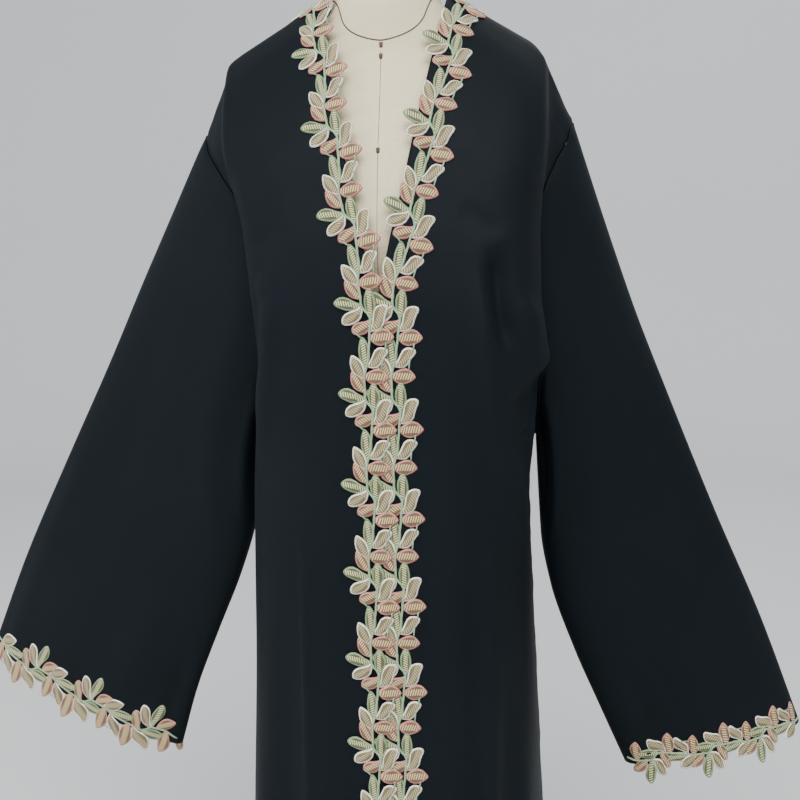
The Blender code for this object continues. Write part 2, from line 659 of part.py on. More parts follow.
def front_guide(side):
    """Both fronts, the back's neck, and a margin past the neck's cut edge.

    The guide has the panels' own mesh below NECK_ROWS and a finer one above it.
    """
    points = []
    faces = []
    fine = [NECK_ROWS * i / FINE_ROWS for i in range(FINE_ROWS)]
    coarse = [v for v in row_places() if v >= NECK_ROWS]
    share = [NECK_REACH * i / FINE_COLUMNS for i in range(FINE_COLUMNS + 1)]
    add_sheet(points, faces, [[front_point(side, u, v)[0] for u in share]
                              for v in fine + coarse[:1]])
    add_sheet(points, faces, [front_row(side, v) for v in coarse])
    add_sheet(points, faces, [front_row(-side, v) for v in coarse if v >= MEETING])
    margins = []
    for v in fine + coarse:
        if v <= MARGIN_END:
            edge = front_point(side, 0.0, v)[0]
            flat = unit(edge - front_point(side, NEAR, v)[0])
            rise = 1.0 - smooth(v / NECK_ROWS)
            margin = unit(flat * (1.0 - rise) + neck_rise(edge) * rise)
            margins.append([edge + margin * MARGIN, edge])
    add_sheet(points, faces, margins)
    rows = [[back_point(u * side, v)[0] for u in share] for v in fine + coarse[:3]]
    rows.insert(0, [point + neck_rise(point) * MARGIN for point in rows[0]])
    add_sheet(points, faces, rows)
    low_inset = FRONT_INSET["left" if side > 0 else "right"]
    path = []
    for i in range(PATH_STEPS + 1):
        v = HEM * (1.0 - i / PATH_STEPS)
        edge = front_point(side, 0.0, v)[0]
        inset = NECK_INSET + (low_inset - NECK_INSET) * smooth(v / NECK_ROWS)
        path.append(edge + unit(front_point(side, NEAR, v)[0] - edge) * inset)
    for i in range(1, NECK_STEPS + 1):
        edge = back_point(side * NECK_SHARE * (1.0 - i / NECK_STEPS), 0.0)[0]
        path.append(edge - neck_rise(edge) * NECK_INSET)
    return Guide(points, faces, path,
                 lambda p: np.array([p[0], p[1] - NECK_CENTRE[1], 0.02]))


def add_front_lace(side, material, collection):
    """The wearer's right lace lies over the left one below the neck opening."""
    name = "left" if side > 0 else "right"
    guide = front_guide(side)
    over = 0.0 if side > 0 else LACE + LIFT
    meeting = FRONT[MEETING][2] - FRONT[HEM][2]

    def lift(along):
        rise = smooth((along - meeting) / LIFT_RUN)
        return LIFT + over * (1.0 - rise) + (NECK_LIFT - LIFT) * rise

    end = (guide.length - LACE_SHIFT - LACE_END) / REPEAT
    add_lace("trim_front_" + name, guide, LACE_START, end, REPEAT, LACE_SHIFT, lift, material,
             collection)


def cuff_guide(side_name):
    """The sleeve's last rings with a margin past the cuff."""
    rings = [sleeve_ring(side_name, i) for i in range(SLEEVE_STATIONS - 2, SLEEVE_STATIONS + 1)]
    onward = [unit(end - inner) for end, inner in zip(rings[-1], rings[-2])]
    rings.append([end + way * MARGIN for end, way in zip(rings[-1], onward)])
    points = [point for ring in rings for point in ring]
    faces = grid_faces(len(rings) - 1, SLEEVE_SIDES, closed=True)
    path = [end - way * CUFF_INSET for end, way in zip(rings[2], onward)]
    path.append(path[0])
    centre = np.mean(rings[2], axis=0)
    return Guide(points, faces, path, lambda p: p - centre)


def add_cuff_lace(side_name, material, collection):
    guide = cuff_guide(side_name)
    repeat = guide.length / CUFF_REPEATS
    half = CUFF_REPEATS / 2.0
    for part, first in (("front", 0.0), ("back", half)):
        start, end = first + FOLD_GAP, first + half - FOLD_GAP
        add_lace("trim_cuff_" + side_name + "_" + part, guide, start, end, repeat, 0.0,
                 lambda along: CUFF_LIFT, material, collection)


# ---- the form and its stand ----------------------------------------------------------
def form_ring(row):
    z, half_x, front, back, square = row
    ring = []
    for j in range(FORM_SIDES):
        angle = 2.0 * math.pi * j / FORM_SIDES
        c, s = math.cos(angle), math.sin(angle)
        x = half_x * math.copysign(abs(c) ** (2.0 / square), c)
        depth = back if s > 0.0 else -front
        y = depth * math.copysign(abs(s) ** (2.0 / square), s)
        ring.append((x, y, z))
    return ring


def add_form(material, collection):
    points = [point for row in FORM for point in form_ring(row)]
    faces = grid_faces(len(FORM) - 1, FORM_SIDES, closed=True)
    last = (len(FORM) - 1) * FORM_SIDES
    faces.append(tuple(range(FORM_SIDES)))
    faces.append(tuple(range(last, last + FORM_SIDES)))
    mesh = mesh_of("form_torso", points, faces, (1, 0, 0))
    item = add_object("form_torso", mesh, material, collection)
    item.data.set_sharp_from_angle(angle=math.radians(50))


def add_turned(name, profile, segments, material, collection):
    """A closed turned solid from (radius, z) pairs, bottom to top, both on the axis."""
    mesh = bpy.data.meshes.new(name)
    shape = bmesh.new()
    corners = [shape.verts.new((radius, 0.0, z)) for radius, z in reversed(profile)]
    for a, b in zip(corners, corners[1:]):
        shape.edges.new((a, b))
    shape.to_mesh(mesh)
    shape.free()
    item = add_object(name, mesh, material, collection)
    screw = item.modifiers.new("turn", "SCREW")
    screw.steps = segments
    screw.render_steps = segments
    screw.use_merge_vertices = True
    screw.merge_threshold = 0.0001
    screw.use_smooth_shade = True
    return item


def add_stand(steel, wood, collection):
    base_profile = [(0.0, 0.0), (BASE_RADIUS, 0.0), (BASE_RADIUS, 0.008),
                    (BASE_RADIUS - 0.010, 0.014), (0.040, BASE_HEIGHT - 0.004),
                    (0.030, BASE_HEIGHT), (0.0, BASE_HEIGHT)]
    add_turned("form_base", base_profile, 40, steel, collection)
    low = BASE_HEIGHT + FORM_GAP
    high = FORM[0][0] - FORM_GAP
    pole_profile = [(0.0, low), (POLE_RADIUS, low), (POLE_RADIUS, high), (0.0, high)]
    add_turned("form_pole", pole_profile, 20, steel, collection)
    top = FORM[-1][0] + FORM_GAP
    cap_profile = [(0.0, top), (CAP_RADIUS, top), (CAP_RADIUS, top + 0.008),
                   (CAP_RADIUS * 0.72, top + CAP_HEIGHT - 0.006),
                   (CAP_RADIUS * 0.30, top + CAP_HEIGHT), (0.0, top + CAP_HEIGHT)]
    cap = add_turned("form_neck_cap", cap_profile, 24, wood, collection)
    cap.location = (0.0, (FORM[-1][2] + FORM[-1][3]) / 2.0, 0.0)


def main():
    clear_scene()
    collection = bpy.data.collections.new("abaya_on_form")
    bpy.context.scene.collection.children.link(collection)
    black = make_material("black_crepe", BLACK, 0.75)
    linen = make_material("linen", LINEN, 0.85)
    thread = make_material("lace_thread", THREAD, 0.60)
    steel = make_material("steel", STEEL, 0.35, 0.9)
    wood = make_material("wood", WOOD, 0.45)
    add_form(linen, collection)
    add_stand(steel, wood, collection)
    for side in (-1, 1):
        add_front(side, black, collection)
    add_back(black, collection)
    for side_name in ("right", "left"):
        add_sleeve(side_name, black, collection)
    for side in (-1, 1):
        add_front_lace(side, thread, collection)
    for side_name in ("right", "left"):
        add_cuff_lace(side_name, thread, collection)


main()
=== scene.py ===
"""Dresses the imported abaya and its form: crepe panels, leaf lace, linen form and stand.

Metres, +Z up, front toward -Y.  Left and right are the wearer's: the wearer's left is +X.
"""

import math

import bmesh
import bpy
import numpy as np
from bpy.props import FloatProperty, FloatVectorProperty, PointerProperty
from bpy.types import Operator, Panel, PropertyGroup
from mathutils import Matrix, Vector
from mathutils.bvhtree import BVHTree


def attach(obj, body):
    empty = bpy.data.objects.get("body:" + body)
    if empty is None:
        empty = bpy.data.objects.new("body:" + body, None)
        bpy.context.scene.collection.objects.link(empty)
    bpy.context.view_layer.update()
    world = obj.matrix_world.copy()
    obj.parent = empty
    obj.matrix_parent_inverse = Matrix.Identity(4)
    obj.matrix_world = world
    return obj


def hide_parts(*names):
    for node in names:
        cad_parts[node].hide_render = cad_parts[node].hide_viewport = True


bl_info = {
    "name": "Abaya with leaf lace",
    "version": (1, 0, 0),
    "blender": (4, 5, 0),
    "location": "View3D > Sidebar > Abaya",
    "description": "Makes an open-front abaya with leaf lace on a dress form",
    "category": "Object",
}

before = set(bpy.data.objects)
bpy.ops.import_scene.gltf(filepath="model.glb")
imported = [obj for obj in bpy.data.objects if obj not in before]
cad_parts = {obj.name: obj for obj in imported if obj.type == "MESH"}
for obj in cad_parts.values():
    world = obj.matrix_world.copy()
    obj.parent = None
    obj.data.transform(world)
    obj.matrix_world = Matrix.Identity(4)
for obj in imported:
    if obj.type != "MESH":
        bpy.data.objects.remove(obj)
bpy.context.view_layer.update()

# ---- the cut of the cloth ------------------------------------------------------------
SEAM = 0.0004             # gap between two pieces' outer faces where they meet at an angle
UNDERARM = 9              # table row at the underarm
MEETING = 7               # table row from which the fronts meet
MARGIN_END = 8            # table row down to which the lace reaches past the front's edge
HEM = 15                  # table row at the hem
ARMHOLE_REACH = 0.34      # share of a sleeve's length shaped by the armhole
ARMHOLE_POWER = 1.6       # how fast the armhole's shape gives way to the sleeve's
SLEEVE_EASE = 0.05        # share of the length over which its direction is averaged
UNDERARM_PUSH = 0.020     # sets how far a sleeve stands off the body beside the armhole
PUSH_POWERS = (0.5, 4)    # how fast it starts at the armhole, and how fast it dies out
KNEE = 0.60               # share of a front row that lies on the chest
NECK_SHARE = 0.30         # share of the back's top edge that is neckline
NECK_ROWS = 3.0           # table rows over which the back takes up its upper edge
SEAM_FADE = 0.14          # share of a row, next to a seam, where the folds die out
TOP_FADE = 1.2            # table rows below the shoulder seam over which they do too
PUCKER_LENGTH = 0.031     # from one small wave along a seam to the next
PUCKER_REACH = 0.030      # how far from the seam they reach
PUCKER_DEPTH = 0.0007     # sets how high they stand
SEAM_ROW = 0.20           # length of a panel's row, to tell how far its seam is
NECK_CENTRE = (0.0, 0.010)    # x and y of the middle of the neck
NECK_SLOPE = (28.0, 55.0)    # rise of the cloth to the neck, at its sides and its back
NECK_CURVE = 0.9          # fullness of the back neckline
NEAR = 0.03               # a small share of a row or a length, to take a direction from
UPRIGHT = 0.02            # how far the body's outward directions lean up
PUCKER_DRIFT = 71.0       # of the second wave of a pucker, in radians a metre
CREASE_ENDS = (0.30, 0.35)    # shares of a crease's length over which it starts and ends
LIP = (1.6, 2.4)          # how wide a lip's soft side is, and how steep its other side
SLEEVE_CLOSER = 1.1       # how much closer together a sleeve's rows are near the armhole
SLEEVE_FADES = (0.05, 0.03)   # lengths over which its creases die out: armhole, upper fold
SAME_PLACE = 0.00002      # points nearer than this are one
STITCH_HALF = 0.25        # half width of a hem's stitch, and its length, both as
STITCH_SHARE = 0.7        # shares of half the length of a stitch and the gap after it

FRONT_GRID = (64, 210)    # squares across and down a front
BACK_GRID = (116, 210)    # and of the back
SLEEVE_GRID = (116, 96)   # squares round and down a sleeve
ARMHOLE_SHARE = 0.50      # share of a panel's rows that lies above the underarm

# One row a level, from the shoulder seam to the hem, for the wearer's left front.
FRONT = [
    # edge_x  edge_y  edge_z  knee_x  knee_y  knee_z  seam_x  seam_y  seam_z  round
    (0.0680,  0.006, 1.474,   0.175,  0.008, 1.417,   0.211,  0.016, 1.337,   0.08),
    (0.0675, -0.010, 1.470,   0.175, -0.008, 1.410,   0.209,  0.004, 1.330,   0.09),
    (0.0640, -0.034, 1.450,   0.174, -0.032, 1.387,   0.202, -0.010, 1.314,   0.12),
    (0.0530, -0.068, 1.394,   0.171, -0.070, 1.336,   0.182, -0.030, 1.286,   0.20),
    (0.0400, -0.095, 1.332,   0.165, -0.096, 1.286,   0.162, -0.040, 1.251,   0.26),
    (0.0270, -0.114, 1.268,   0.160, -0.112, 1.232,   0.152, -0.042, 1.203,   0.32),
    (0.0130, -0.127, 1.207,   0.157, -0.122, 1.176,   0.148, -0.038, 1.150,   0.34),
    (0.0032, -0.132, 1.152,   0.156, -0.125, 1.116,   0.149, -0.028, 1.092,   0.36),
    (0.0010, -0.132, 1.080,   0.157, -0.123, 1.052,   0.154, -0.004, 1.036,   0.38),
    (0.0010, -0.131, 1.000,   0.161, -0.119, 0.993,   0.161,  0.030, 0.990,   0.40),
    (0.0010, -0.130, 0.920,   0.164, -0.119, 0.918,   0.163,  0.030, 0.916,   0.40),
    (0.0010, -0.130, 0.800,   0.167, -0.121, 0.799,   0.166,  0.028, 0.798,   0.40),
    (0.0010, -0.133, 0.600,   0.172, -0.126, 0.600,   0.170,  0.026, 0.600,   0.40),
    (0.0010, -0.138, 0.400,   0.184, -0.132, 0.400,   0.180,  0.024, 0.400,   0.40),
    (0.0010, -0.145, 0.200,   0.198, -0.140, 0.200,   0.192,  0.022, 0.200,   0.40),
    (0.0010, -0.150, 0.050,   0.206, -0.146, 0.050,   0.200,  0.020, 0.050,   0.40),
]

# The back, level by level: centre back, knee of the shoulder blade, armhole or side seam.
BACK = [
    # mid_y  mid_z   knee_x  knee_y  knee_z  seam_x  seam_y  seam_z  round
    (0.082, 1.462,   0.165,  0.040, 1.424,   0.211,  0.0172, 1.337,  0.20),
    (0.085, 1.453,   0.173,  0.042, 1.420,   0.212,  0.029, 1.334,   0.12),
    (0.089, 1.436,   0.174,  0.072, 1.397,   0.205,  0.047, 1.318,   0.18),
    (0.097, 1.398,   0.175,  0.094, 1.338,   0.188,  0.067, 1.288,   0.28),
    (0.104, 1.350,   0.172,  0.108, 1.290,   0.174,  0.082, 1.252,   0.32),
    (0.108, 1.295,   0.168,  0.114, 1.238,   0.165,  0.090, 1.204,   0.34),
    (0.110, 1.235,   0.166,  0.116, 1.180,   0.161,  0.090, 1.150,   0.36),
    (0.110, 1.165,   0.164,  0.116, 1.113,   0.158,  0.080, 1.092,   0.36),
    (0.109, 1.082,   0.164,  0.116, 1.050,   0.159,  0.058, 1.036,   0.38),
    (0.108, 1.000,   0.164,  0.116, 0.993,   0.161,  0.0303, 0.990,  0.40),
    (0.108, 0.920,   0.166,  0.118, 0.918,   0.163,  0.0303, 0.916,  0.40),
    (0.110, 0.800,   0.169,  0.120, 0.799,   0.166,  0.0283, 0.798,  0.40),
    (0.114, 0.600,   0.175,  0.126, 0.600,   0.170,  0.0263, 0.600,  0.40),
    (0.120, 0.400,   0.187,  0.134, 0.400,   0.180,  0.0243, 0.400,  0.40),
    (0.128, 0.200,   0.201,  0.142, 0.200,   0.192,  0.0223, 0.200,  0.40),
    (0.134, 0.050,   0.209,  0.148, 0.050,   0.200,  0.0203, 0.050,  0.40),
]

# How much further out the chest and the seams stand on each side, level by level.
SPREAD = [
    # front_right front_left back_right back_left
    (0.000, -0.011, 0.000, -0.011),
    (0.000, -0.011, 0.000, -0.011),
    (0.000, -0.010, 0.000, -0.010),
    (0.000, -0.005, 0.000, -0.006),
    (-0.004, 0.002, -0.002, -0.002),
    (-0.006, 0.008, -0.004, 0.000),
    (-0.006, 0.014, -0.004, 0.001),
    (-0.005, 0.015, -0.003, 0.001),
    (-0.003, 0.008, -0.002, 0.000),
    (0.000, -0.001, 0.000, -0.001),
    (0.002, -0.008, 0.002, -0.008),
    (0.002, -0.006, 0.002, -0.006),
    (0.002, -0.001, 0.002, -0.001),
    (0.000, 0.000, 0.000, 0.000),
    (0.000, 0.000, 0.000, 0.000),
    (0.000, 0.000, 0.000, 0.000),
]

# Sleeves from the armhole to the cuff: upper fold line, lower fold line, and how far the
# front and back layers stand off the plane between them.  The first row is the armhole.
SLEEVE = {
    "right": [
        # over_x  over_y  over_z  under_x  under_y  under_z  front   back
        (-0.211, 0.016, 1.337,   -0.161, 0.030, 0.990,    0.060, 0.060),
        (-0.256, 0.036, 1.262,   -0.172, 0.042, 0.932,    0.050, 0.042),
        (-0.311, 0.058, 1.174,   -0.187, 0.056, 0.868,    0.040, 0.034),
        (-0.372, 0.081, 1.072,   -0.212, 0.070, 0.800,    0.032, 0.028),
        (-0.455, 0.109, 0.936,   -0.251, 0.087, 0.715,    0.027, 0.025),
        (-0.535, 0.135, 0.800,   -0.290, 0.103, 0.626,    0.025, 0.024),
        (-0.608, 0.160, 0.659,   -0.322, 0.120, 0.535,    0.026, 0.026),
    ],
    "left": [
        (0.200, 0.016, 1.337,    0.160, 0.030, 0.990,    0.060, 0.060),
        (0.233, 0.032, 1.238,    0.169, 0.040, 0.932,    0.052, 0.046),
        (0.271, 0.049, 1.139,    0.171, 0.050, 0.868,    0.042, 0.036),
        (0.317, 0.066, 1.030,    0.183, 0.058, 0.800,    0.034, 0.028),
        (0.379, 0.089, 0.887,    0.212, 0.068, 0.715,    0.029, 0.025),
        (0.444, 0.110, 0.744,    0.246, 0.078, 0.634,    0.028, 0.024),
        (0.502, 0.130, 0.599,    0.280, 0.088, 0.555,    0.030, 0.026),
    ],
}

# Creases of the panels, in x and z: a straight run with a bow to its left, half width and
# depth (out is positive).  A ridge is round; a lip has one steep side, on its right.
CREASES = {
    "front_right": [
        # from_x from_z   to_x    to_z    bow     width   depth   kind
        (-0.106, 1.200, -0.140, 0.960,  0.004, 0.011,  0.0055, "ridge"),
        (-0.130, 1.190, -0.150, 1.040,  0.003, 0.009, -0.0050, "ridge"),
        (-0.092, 1.230, -0.146, 1.205,  0.004, 0.010, -0.0022, "ridge"),
        (-0.098, 1.190, -0.150, 1.150,  0.004, 0.008,  0.0018, "ridge"),
        (-0.050, 1.330, -0.150, 1.225, -0.010, 0.020,  0.0020, "ridge"),
        (-0.178, 1.470, -0.158, 1.150,  0.000, 0.007,  0.0034, "ridge"),
        (-0.188, 1.440, -0.166, 1.210,  0.000, 0.009, -0.0050, "ridge"),
        (-0.085, 0.990, -0.102, 0.000,  0.002, 0.007,  0.0046, "lip"),
        (-0.118, 0.900, -0.128, 0.000,  0.003, 0.016, -0.0050, "ridge"),
        (-0.100, 0.960, -0.112, 0.000,  0.000, 0.020, -0.0060, "ridge"),
        (-0.060, 0.760, -0.070, 0.000,  0.004, 0.020,  0.0040, "ridge"),
        (-0.044, 1.100, -0.050, 0.700, -0.004, 0.014,  0.0014, "ridge"),
        (-0.150, 0.780, -0.160, 0.000,  0.002, 0.018,  0.0060, "ridge"),
        (-0.030, 0.560, -0.034, 0.000,  0.002, 0.018, -0.0040, "ridge"),
        (-0.140, 0.470, -0.148, 0.000,  0.002, 0.010,  0.0040, "lip"),
    ],
    "front_left": [
        (0.100, 1.210, 0.152, 0.850, -0.006, 0.012,  0.0105, "ridge"),
        (0.120, 1.210, 0.134, 1.080, -0.004, 0.012, -0.0130, "ridge"),
        (0.142, 1.160, 0.162, 1.060,  0.006, 0.011,  0.0080, "ridge"),
        (0.118, 1.045, 0.170, 1.105, -0.008, 0.008,  0.0050, "ridge"),
        (0.128, 1.020, 0.172, 1.080, -0.008, 0.010, -0.0050, "ridge"),
        (0.060, 1.330, 0.150, 1.240,  0.010, 0.020,  0.0020, "ridge"),
        (0.168, 1.470, 0.170, 1.130,  0.000, 0.007,  0.0034, "ridge"),
        (0.178, 1.440, 0.172, 1.200,  0.000, 0.008, -0.0050, "ridge"),
        (0.080, 1.245, 0.130, 1.215, -0.004, 0.010, -0.0022, "ridge"),
        (0.112, 1.120, 0.138, 0.960, -0.004, 0.007, -0.0030, "ridge"),
        (0.092, 1.020, 0.104, 0.000,  0.002, 0.013, -0.0045, "ridge"),
        (0.108, 0.960, 0.116, 0.000,  0.002, 0.009,  0.0036, "lip"),
        (0.128, 0.860, 0.138, 0.000,  0.000, 0.013, -0.0060, "ridge"),
        (0.146, 0.800, 0.150, 0.000,  0.000, 0.012,  0.0046, "ridge"),
        (0.058, 0.700, 0.066, 0.000,  0.004, 0.020,  0.0040, "ridge"),
        (0.040, 1.080, 0.046, 0.640,  0.004, 0.014, -0.0014, "ridge"),
        (0.032, 0.480, 0.036, 0.000,  0.000, 0.016, -0.0036, "ridge"),
    ],
    "back": [
        (-0.115, 1.250, -0.130, 0.000,  0.006, 0.024, -0.0095, "ridge"),
        (-0.060, 1.060, -0.076, 0.000,  0.004, 0.022,  0.0080, "ridge"),
        (-0.088, 0.900, -0.100, 0.000,  0.002, 0.010,  0.0050, "lip"),
        (-0.012, 0.960, -0.014, 0.000, -0.004, 0.022, -0.0090, "ridge"),
        (0.045, 1.060, 0.058, 0.000,  0.004, 0.022,  0.0080, "ridge"),
        (0.024, 0.800, 0.030, 0.000,  0.002, 0.010,  0.0040, "lip"),
        (0.108, 1.250, 0.128, 0.000, -0.004, 0.024, -0.0100, "ridge"),
        (0.086, 0.860, 0.094, 0.000,  0.002, 0.012,  0.0040, "ridge"),
        (-0.150, 1.330, -0.060, 1.385, -0.008, 0.014,  0.0026, "ridge"),
        (0.150, 1.330, 0.066, 1.380,  0.008, 0.014,  0.0026, "ridge"),
        (-0.150, 1.200, -0.110, 1.060, -0.006, 0.012,  0.0040, "ridge"),
        (0.150, 1.210, 0.112, 1.070,  0.006, 0.012,  0.0044, "ridge"),
    ],
}

# Creases of the sleeves, on the cloth laid flat: metres round from the upper fold by way
# of the front, and metres down from the armhole.
SLEEVE_CREASES = {
    "right": [
        (0.250, -0.060, 0.290, 0.300,  0.012, 0.016,  0.0040, "ridge"),
        (0.300, -0.020, 0.320, 0.240,  0.006, 0.012, -0.0044, "ridge"),
        (0.180, 0.000, 0.240, 0.420,  0.010, 0.022,  0.0030, "ridge"),
        (0.110, 0.160, 0.130, 0.700,  0.006, 0.026, -0.0030, "ridge"),
        (0.220, 0.480, 0.200, 0.900,  0.004, 0.020,  0.0034, "ridge"),
        (0.060, 0.420, 0.070, 0.900, -0.004, 0.018,  0.0026, "ridge"),
        (0.270, 0.560, 0.262, 0.900, -0.004, 0.014, -0.0026, "ridge"),
        (0.450, 0.050, 0.500, 0.500,  0.010, 0.020,  0.0044, "ridge"),
        (0.540, 0.120, 0.560, 0.900,  0.006, 0.024, -0.0036, "ridge"),
        (0.420, 0.000, 0.420, 0.260,  0.004, 0.012, -0.0044, "ridge"),
    ],
    "left": [
        (0.240, -0.060, 0.280, 0.320,  0.012, 0.015,  0.0044, "ridge"),
        (0.290, -0.030, 0.312, 0.260,  0.006, 0.012, -0.0050, "ridge"),
        (0.160, 0.020, 0.210, 0.460,  0.008, 0.020,  0.0030, "ridge"),
        (0.100, 0.240, 0.110, 0.760,  0.006, 0.024, -0.0030, "ridge"),
        (0.180, 0.520, 0.170, 0.900,  0.004, 0.018,  0.0034, "ridge"),
        (0.230, 0.600, 0.226, 0.900, -0.004, 0.014, -0.0028, "ridge"),
        (0.430, 0.040, 0.470, 0.520,  0.010, 0.020,  0.0044, "ridge"),
        (0.500, 0.160, 0.520, 0.900,  0.006, 0.024, -0.0036, "ridge"),
        (0.400, 0.000, 0.400, 0.260,  0.004, 0.012, -0.0044, "ridge"),
    ],
}
SLEEVE_ROUND = 0.66       # mean girth of a sleeve
SLEEVE_DOWN = 0.80        # length of a sleeve along its upper fold

# ---- the lace ------------------------------------------------------------------------
REPEAT = 0.093            # length of one repeat of the leaf lace
LACE_SHIFT = -0.018       # where the first repeat of a front would begin, above the hem
LACE_START = 0.22         # repeats of it that are left off
LACE_END = 0.001          # bare cloth between the lace's end and the back's centre
CUFF_REPEATS = 7          # repeats round a cuff
FOLD_GAP = 0.10           # repeats of bare cloth at each fold of a cuff
FRONT_INSET = {"right": 0.008, "left": 0.017}    # lace stem in from the front edge
NECK_INSET = 0.0195       # the same at the shoulder and round the neck
CUFF_INSET = 0.010        # lace stem in from the cuff's edge
CUFF_SPREAD = 1.32        # how much wider the lace lies at the cuffs
CUFF_LEAF = 1.16          # how much larger its leaves are
CUFF_FLARE = 0.35         # how far lace past the cuff's edge stands off outward
CUFF_ROWS = 14            # last rows of a sleeve that carry its lace
NECK_PATCH = (60, 40)     # rows of the back that carry the neck's, and squares each side
MARGIN = 0.040            # how far the lace may reach past a cut edge
WALK = 0.004              # step of the walk over a surface to the side of a path
EASE = 0.014              # length over which a path's direction is averaged, each way
PATH_STEPS = 300          # steps of the lace's path up a front
NECK_STEPS = 60           # steps of the lace's path round half the neck
LIFT = 0.0004             # gap between the lace and the cloth under it
OVER_LIFT = 0.0016        # more of it where one lace lies over the other
LIFT_RUN = 0.10           # length of lace over which one gap gives way to the other
LEAF_POINTS = 18          # points of a leaf's outline
LEAF_LAYERS = (3, 0.00012)    # leaves lie on so many levels, and how far apart they are
CORD_RISE = 0.0010        # height of a leaf's border over its fill
CORD_HALF = 0.00120       # half width of a leaf's border
FILL_RISE = 0.25          # height of the fill's rim, as a share of its border's
THREAD_RADIUS = 0.00032   # of the short threads that join leaves
THREAD_SIDES = 4
THREAD_RISE = 0.0003      # how high they lie
THREAD_CLEAR = 0.35       # repeats at a lace's end that have none
STEM_RADIUS = 0.00062     # of the stem that the leaves grow from
STEM_SIDES = 6
STEM_STEPS = 22           # steps of the stem in one repeat
RUNG = (0.00125, 0.0006, 0.004)   # of ladder stitches: half period, half width, slant
LADDER_HALF = 0.25        # half width of the ladder, as a share of the leaf's

# Leaves of one repeat.  side: +1 is left of the growth, -1 right; base: where on the
# stem it grows; turn: degrees away from the growth; long, wide: shares of the repeat;
# curl: how far the middle bends to the leaf's outer side, as a share of its length.
LEAVES = [
    # side base    turn   long   wide   curl   shape    cord
    (1,    0.000,  80.0,  0.285, 0.109, 0.03,  "drop",  "sage"),
    (1,    0.070,  33.0,  0.245, 0.104, 0.05,  "lens",  "rose"),
    (1,    0.220,  29.0,  0.265, 0.110, 0.04,  "lens",  "cream"),
    (1,    0.330,  6.0,   0.320, 0.093, 0.00,  "lens",  "sage"),
    (1,    0.830,  121.0, 0.220, 0.113, 0.08,  "drop",  "rose"),
    (1,    0.985,  129.0, 0.265, 0.110, 0.09,  "drop",  "cream"),
    (-1,   0.240,  94.0,  0.245, 0.139, 0.00,  "full",  "rose"),
    (-1,   0.350,  53.0,  0.268, 0.106, 0.04,  "blunt", "cream"),
    (-1,   0.650,  90.0,  0.250, 0.146, 0.00,  "full",  "rose"),
    (-1,   0.725,  37.0,  0.308, 0.116, 0.04,  "blunt", "cream"),
    (-1,   0.860,  2.0,   0.300, 0.093, 0.00,  "lens",  "sage"),
]
# Narrowing of a leaf's base and of its tip, how far its widest place lies past the
# middle, and how far it bends to one side and back, as a share of its length.
LEAF_SHAPES = {
    "lens": (2.2, 2.00, 0.02, 0.01),
    "full": (2.4, 1.95, 0.06, 0.03),
    "drop": (2.5, 1.50, 0.22, 0.04),
    "blunt": (2.1, 1.15, 0.12, 0.08),
}
# Threads between leaves: number of a leaf above, then the place of the thread's end on
# it, along and across to its backward edge, both as shares; then the same for the other.
BRIDES = [
    # leaf along  across  leaf along  across
    (4,    0.97,  0.0,    3,   0.98,  0.0),
    (8,    0.70,  0.9,    7,   0.97,  0.0),
    (7,    0.70,  0.9,    6,   0.75,  -0.9),
    (9,    0.35,  0.9,    8,   0.50,  -0.9),
]
# How far the stem swings off its line, as shares of the repeat (+ is right).
STEM_SWING = [
    # along  aside
    (0.00, -0.038), (0.22, -0.041), (0.45, 0.008), (0.65, 0.030), (0.86, 0.050),
]
CORDS = ["fill_cream", "fill_rose", "fill_sage", "cream", "rose", "sage", "stem"]

# ---- the form ------------------------------------------------------------------------
FORM = [
    # z      half_x  front   back   square
    (0.850, 0.130, -0.078, 0.078, 2.2),
    (0.862, 0.138, -0.086, 0.088, 2.2),
    (0.920, 0.139, -0.090, 0.094, 2.2),
    (1.000, 0.126, -0.082, 0.080, 2.1),
    (1.060, 0.118, -0.078, 0.072, 2.1),
    (1.130, 0.126, -0.098, 0.080, 2.1),
    (1.205, 0.132, -0.114, 0.090, 2.1),
    (1.290, 0.139, -0.098, 0.094, 2.1),
    (1.345, 0.150, -0.076, 0.088, 2.1),
    (1.385, 0.156, -0.062, 0.078, 1.9),
    (1.405, 0.151, -0.056, 0.070, 1.7),
    (1.420, 0.130, -0.052, 0.064, 1.5),
    (1.436, 0.097, -0.048, 0.060, 1.5),
    (1.450, 0.070, -0.045, 0.058, 1.7),
    (1.462, 0.060, -0.044, 0.058, 1.9),
    (1.476, 0.0575, -0.043, 0.058, 2.0),
    (1.530, 0.056, -0.043, 0.056, 2.0),
]
FORM_GRID = (120, 170)    # squares round and up the form
IN_FRONT = -math.pi / 2.0     # the angle of its middle in front
HALVINGS = 30             # steps of the search for a height in the form's table
SHARP_FORM = 50.0         # edges sharper than this stay sharp, on the form
SHARP_TURNED = 40.0       # and on turned pieces
NECK_SEAM = (1.470, 1.416, 1.474)    # its height at the sides, the front and the back
NECK_SEAM_POWER = 3       # how sharply it dips at the front and rises at the back
SEAM_STEPS = (96, 60)     # of the neck seam and of the one up the front
SEAM_CORD = 0.0009        # radius of the cord sewn into the neck seam
CORD_FLAT = 0.6           # how high a seam's cord stands, as a share of its half width
CENTRE_SEAM = (1.05, 1.405, 0.0003)  # the seam up the front: from, to and its radius
TACKS = [1.411, 1.399, 1.300]        # heights of the marks up the front
TACK = (0.0020, 0.0028)   # half width and half height of a mark
FORM_GAP = 0.0003         # between the pieces of the form
FORM_TOP = FORM[-1][0] + FORM_GAP
BASE_HEIGHT = 0.026
POLE_FROM, POLE_TO = BASE_HEIGHT + FORM_GAP, FORM[0][0] - FORM_GAP

